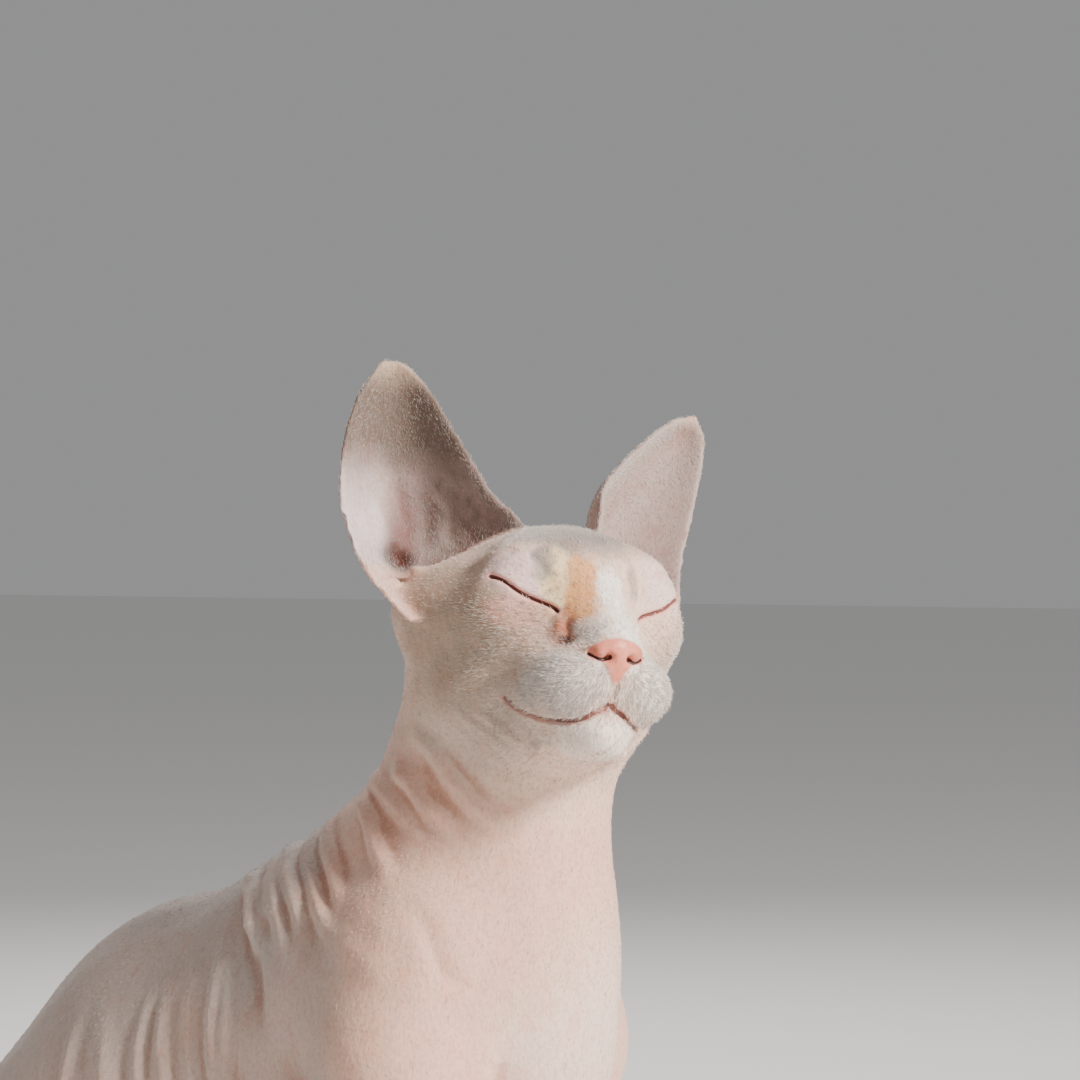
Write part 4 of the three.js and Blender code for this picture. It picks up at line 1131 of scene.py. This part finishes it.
def lie_of_down(points, region):
    """Which way the down lies before it is laid along the skin."""
    if region == "down_face":
        return points - np.array(on_head(0, 52, -10))
    if region == "down_ears":
        return np.tile(np.array(HEAD_TURN @ Vector((0, 0.1, 1))), (len(points), 1))
    if region == "down_tail":
        from_rump = points - np.array(on_body(0, -170, 40))
        return np.cross(from_rump, (0, 0, -1.0)) * 4 + from_rump
    if region in ("down_neck", "down_trunk"):
        return np.tile(np.array((0, 0.55, -0.9)), (len(points), 1))
    return np.tile(np.array((0, -0.1, -1.0)), (len(points), 1))


def unwrapped_copy():
    """A light copy of the skin with an unwrap, which gives each hair its place on the map."""
    copy = bpy.data.objects.new("skin_map", skin.data.copy())
    bpy.context.scene.collection.objects.link(copy)
    apply_modifier(copy, "DECIMATE", ratio=MAP_SHARE)
    alone(copy)
    bpy.ops.object.mode_set(mode="EDIT")
    bpy.ops.mesh.select_all(action="SELECT")
    bpy.ops.mesh.quads_convert_to_tris()
    bpy.ops.uv.smart_project(angle_limit=math.radians(66), island_margin=0.004)
    bpy.ops.object.mode_set(mode="OBJECT")
    corners = points_of(copy)
    faces = np.array([face.vertices[:] for face in copy.data.polygons])
    flat = np.empty(len(copy.data.loops) * 2, np.float32)
    copy.data.uv_layers.active.data.foreach_get("uv", flat)
    uvs = flat.reshape(-1, 3, 2)
    tree = BVHTree.FromPolygons([Vector(corner) for corner in corners], faces.tolist())
    bpy.data.objects.remove(copy)
    return corners, faces, uvs, tree


def place_on_map(roots, corners, faces, uvs, tree):
    """Where each root falls on the unwrap: its weights in the nearest triangle, on the map."""
    found = [tree.find_nearest(Vector(root)) for root in roots]
    index = np.array([hit[2] for hit in found])
    spots = np.array([hit[0][:] for hit in found])
    first, second, third = (corners[faces[index, number]] for number in range(3))
    one, two, reach = second - first, third - first, spots - first
    d11, d12, d22 = (one * one).sum(1), (one * two).sum(1), (two * two).sum(1)
    r1, r2 = (reach * one).sum(1), (reach * two).sum(1)
    scale = np.maximum(d11 * d22 - d12 * d12, 1e-20)
    v = np.clip((d22 * r1 - d12 * r2) / scale, 0, 1)
    w = np.clip((d11 * r2 - d12 * r1) / scale, 0, 1)
    u = np.clip(1 - v - w, 0, 1)
    total = (u + v + w)[:, None]
    near = uvs[index]
    return (near[:, 0] * u[:, None] + near[:, 1] * v[:, None] + near[:, 2] * w[:, None]) / total


def unit(vectors):
    return vectors / np.maximum(np.linalg.norm(vectors, axis=1), 1e-12)[:, None]


skin.data.calc_loop_triangles()
flat = np.empty(len(skin.data.loop_triangles) * 3, np.int32)
skin.data.loop_triangles.foreach_get("vertices", flat)
triangles = flat.reshape(-1, 3)
tri_corners = finished.points[triangles]
tri_middles = tri_corners.mean(axis=1)
tri_normals = unit(finished.normals[triangles].mean(axis=1))
tri_areas = np.linalg.norm(
    np.cross(tri_corners[:, 1] - tri_corners[:, 0], tri_corners[:, 2] - tri_corners[:, 0]), axis=1
)
kinds = np.array([name.split("_")[0] for name in skin_owners])[triangles[:, 0]]
line_distance = np.min(list(line_distances.values()), axis=0)[triangles[:, 0]]
tri_facing = head_measure(tri_normals * MM + np.array(HEAD_PLACE))
tri_thick, tri_long, tri_stand = down_thickness(tri_middles, tri_facing)
skin_map = unwrapped_copy()

down_finish, net, shader = new_finish("down")
pale = mixed(attribute("marking_and_shade")["Color"], solid_colour(DOWN_PALE), 0.45)
here = node("ShaderNodeTexCoord").outputs["Object"]
pale = mixed(pale, (0.86, 0.84, 0.82, 1), spread_over(noise(here, 420, 2), 0.55, 0.35, 0, 1), "MULTIPLY")
net.links.new(pale, shader.inputs["Base Color"])
set_inputs(shader, Roughness=0.6, Sheen_Weight=0.3, Sheen_Roughness=0.4)

for number, (region, grown_on) in enumerate(DOWN_REGIONS.items()):
    hairs, length, thickness, rise = DOWN_GROWTH[region]
    draw = np.random.default_rng(400 + number)
    chance = tri_areas * np.isin(kinds, grown_on) * (line_distance > CLEAR_OF_LINES)
    chance *= tri_thick if region in ("down_face", "down_ears") else 1
    chosen = draw.choice(len(triangles), size=hairs, p=chance / chance.sum())
    one, two = draw.random(hairs), draw.random(hairs)
    over = one + two > 1
    one[over], two[over] = 1 - one[over], 1 - two[over]
    corner = tri_corners[chosen]
    roots = corner[:, 0] + one[:, None] * (corner[:, 1] - corner[:, 0])
    roots += two[:, None] * (corner[:, 2] - corner[:, 0])
    normal = tri_normals[chosen]
    lie = lie_of_down(roots, region)
    lie = unit(lie - (lie * normal).sum(axis=1)[:, None] * normal)
    lie = unit(lie + 0.35 * draw.normal(size=(hairs, 3)))
    lie = unit(lie - (lie * normal).sum(axis=1)[:, None] * normal)
    across = np.cross(normal, lie)
    long = length * MM * draw.uniform(0.6, 1.25, hairs)
    angle = np.radians(rise) * draw.uniform(0.6, 1.6, hairs)
    if region in ("down_face", "down_ears"):
        long *= tri_long[chosen]
        angle *= tri_stand[chosen]
    angle = angle[:, None]
    long = long[:, None]
    start = lie * np.cos(angle) + normal * np.sin(angle)
    finish = lie * np.cos(angle * 0.4) + normal * np.sin(angle * 0.4)
    side = np.cross(start, across)
    rings = []
    for share, narrow in ((0.0, 1.0), (0.5, 0.72)):
        heart = roots - normal * ROOT_SINK + start * long * share
        for corner_number in range(HAIR_SIDES):
            turn = 2 * math.pi * corner_number / HAIR_SIDES
            rim = across * math.cos(turn) + side * math.sin(turn)
            rings.append(heart + rim * thickness * MM * narrow)
    tip = roots - normal * ROOT_SINK + start * long * 0.5 + finish * long * 0.5
    hair_points = np.stack([*rings, tip], axis=1).reshape(-1, 3)
    hair_points[:, 2] = np.maximum(hair_points[:, 2], SKIN_OFF_FLOOR)
    hair_faces = [
        tuple(first + corner for corner in face)
        for first in range(0, HAIR_POINTS * hairs, HAIR_POINTS)
        for face in HAIR_FACES
    ]
    mesh = bpy.data.meshes.new(region)
    mesh.from_pydata(hair_points.tolist(), [], hair_faces)
    down = bpy.data.objects.new(region, mesh)
    bpy.context.scene.collection.objects.link(down)
    shades = marking_and_shade(roots, normal, [skin_owners[point] for point in triangles[chosen, 0]])
    keep_colour(down, "marking_and_shade", np.repeat(shades, HAIR_POINTS, axis=0))
    spots = place_on_map(roots, *skin_map)
    spread = np.array(HAIR_SPREAD) - 0.5
    uvs = (spots[:, None, :] + spread[None, :, :] * PATCH_SIDE).reshape(-1, 2)
    uvs = np.clip(uvs, 0, 1)
    layer = mesh.uv_layers.new(name="OFBake")
    loops = np.empty(len(mesh.loops), np.int32)
    mesh.loops.foreach_get("vertex_index", loops)
    layer.data.foreach_set("uv", uvs[loops].astype(np.float32).ravel())
    mesh.materials.append(down_finish)
    mesh.shade_smooth()
    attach(down, "root")

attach(skin, "root")
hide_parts(*flesh)
alone(skin)
bpy.ops.object.shade_smooth()

bpy.context.view_layer.update()
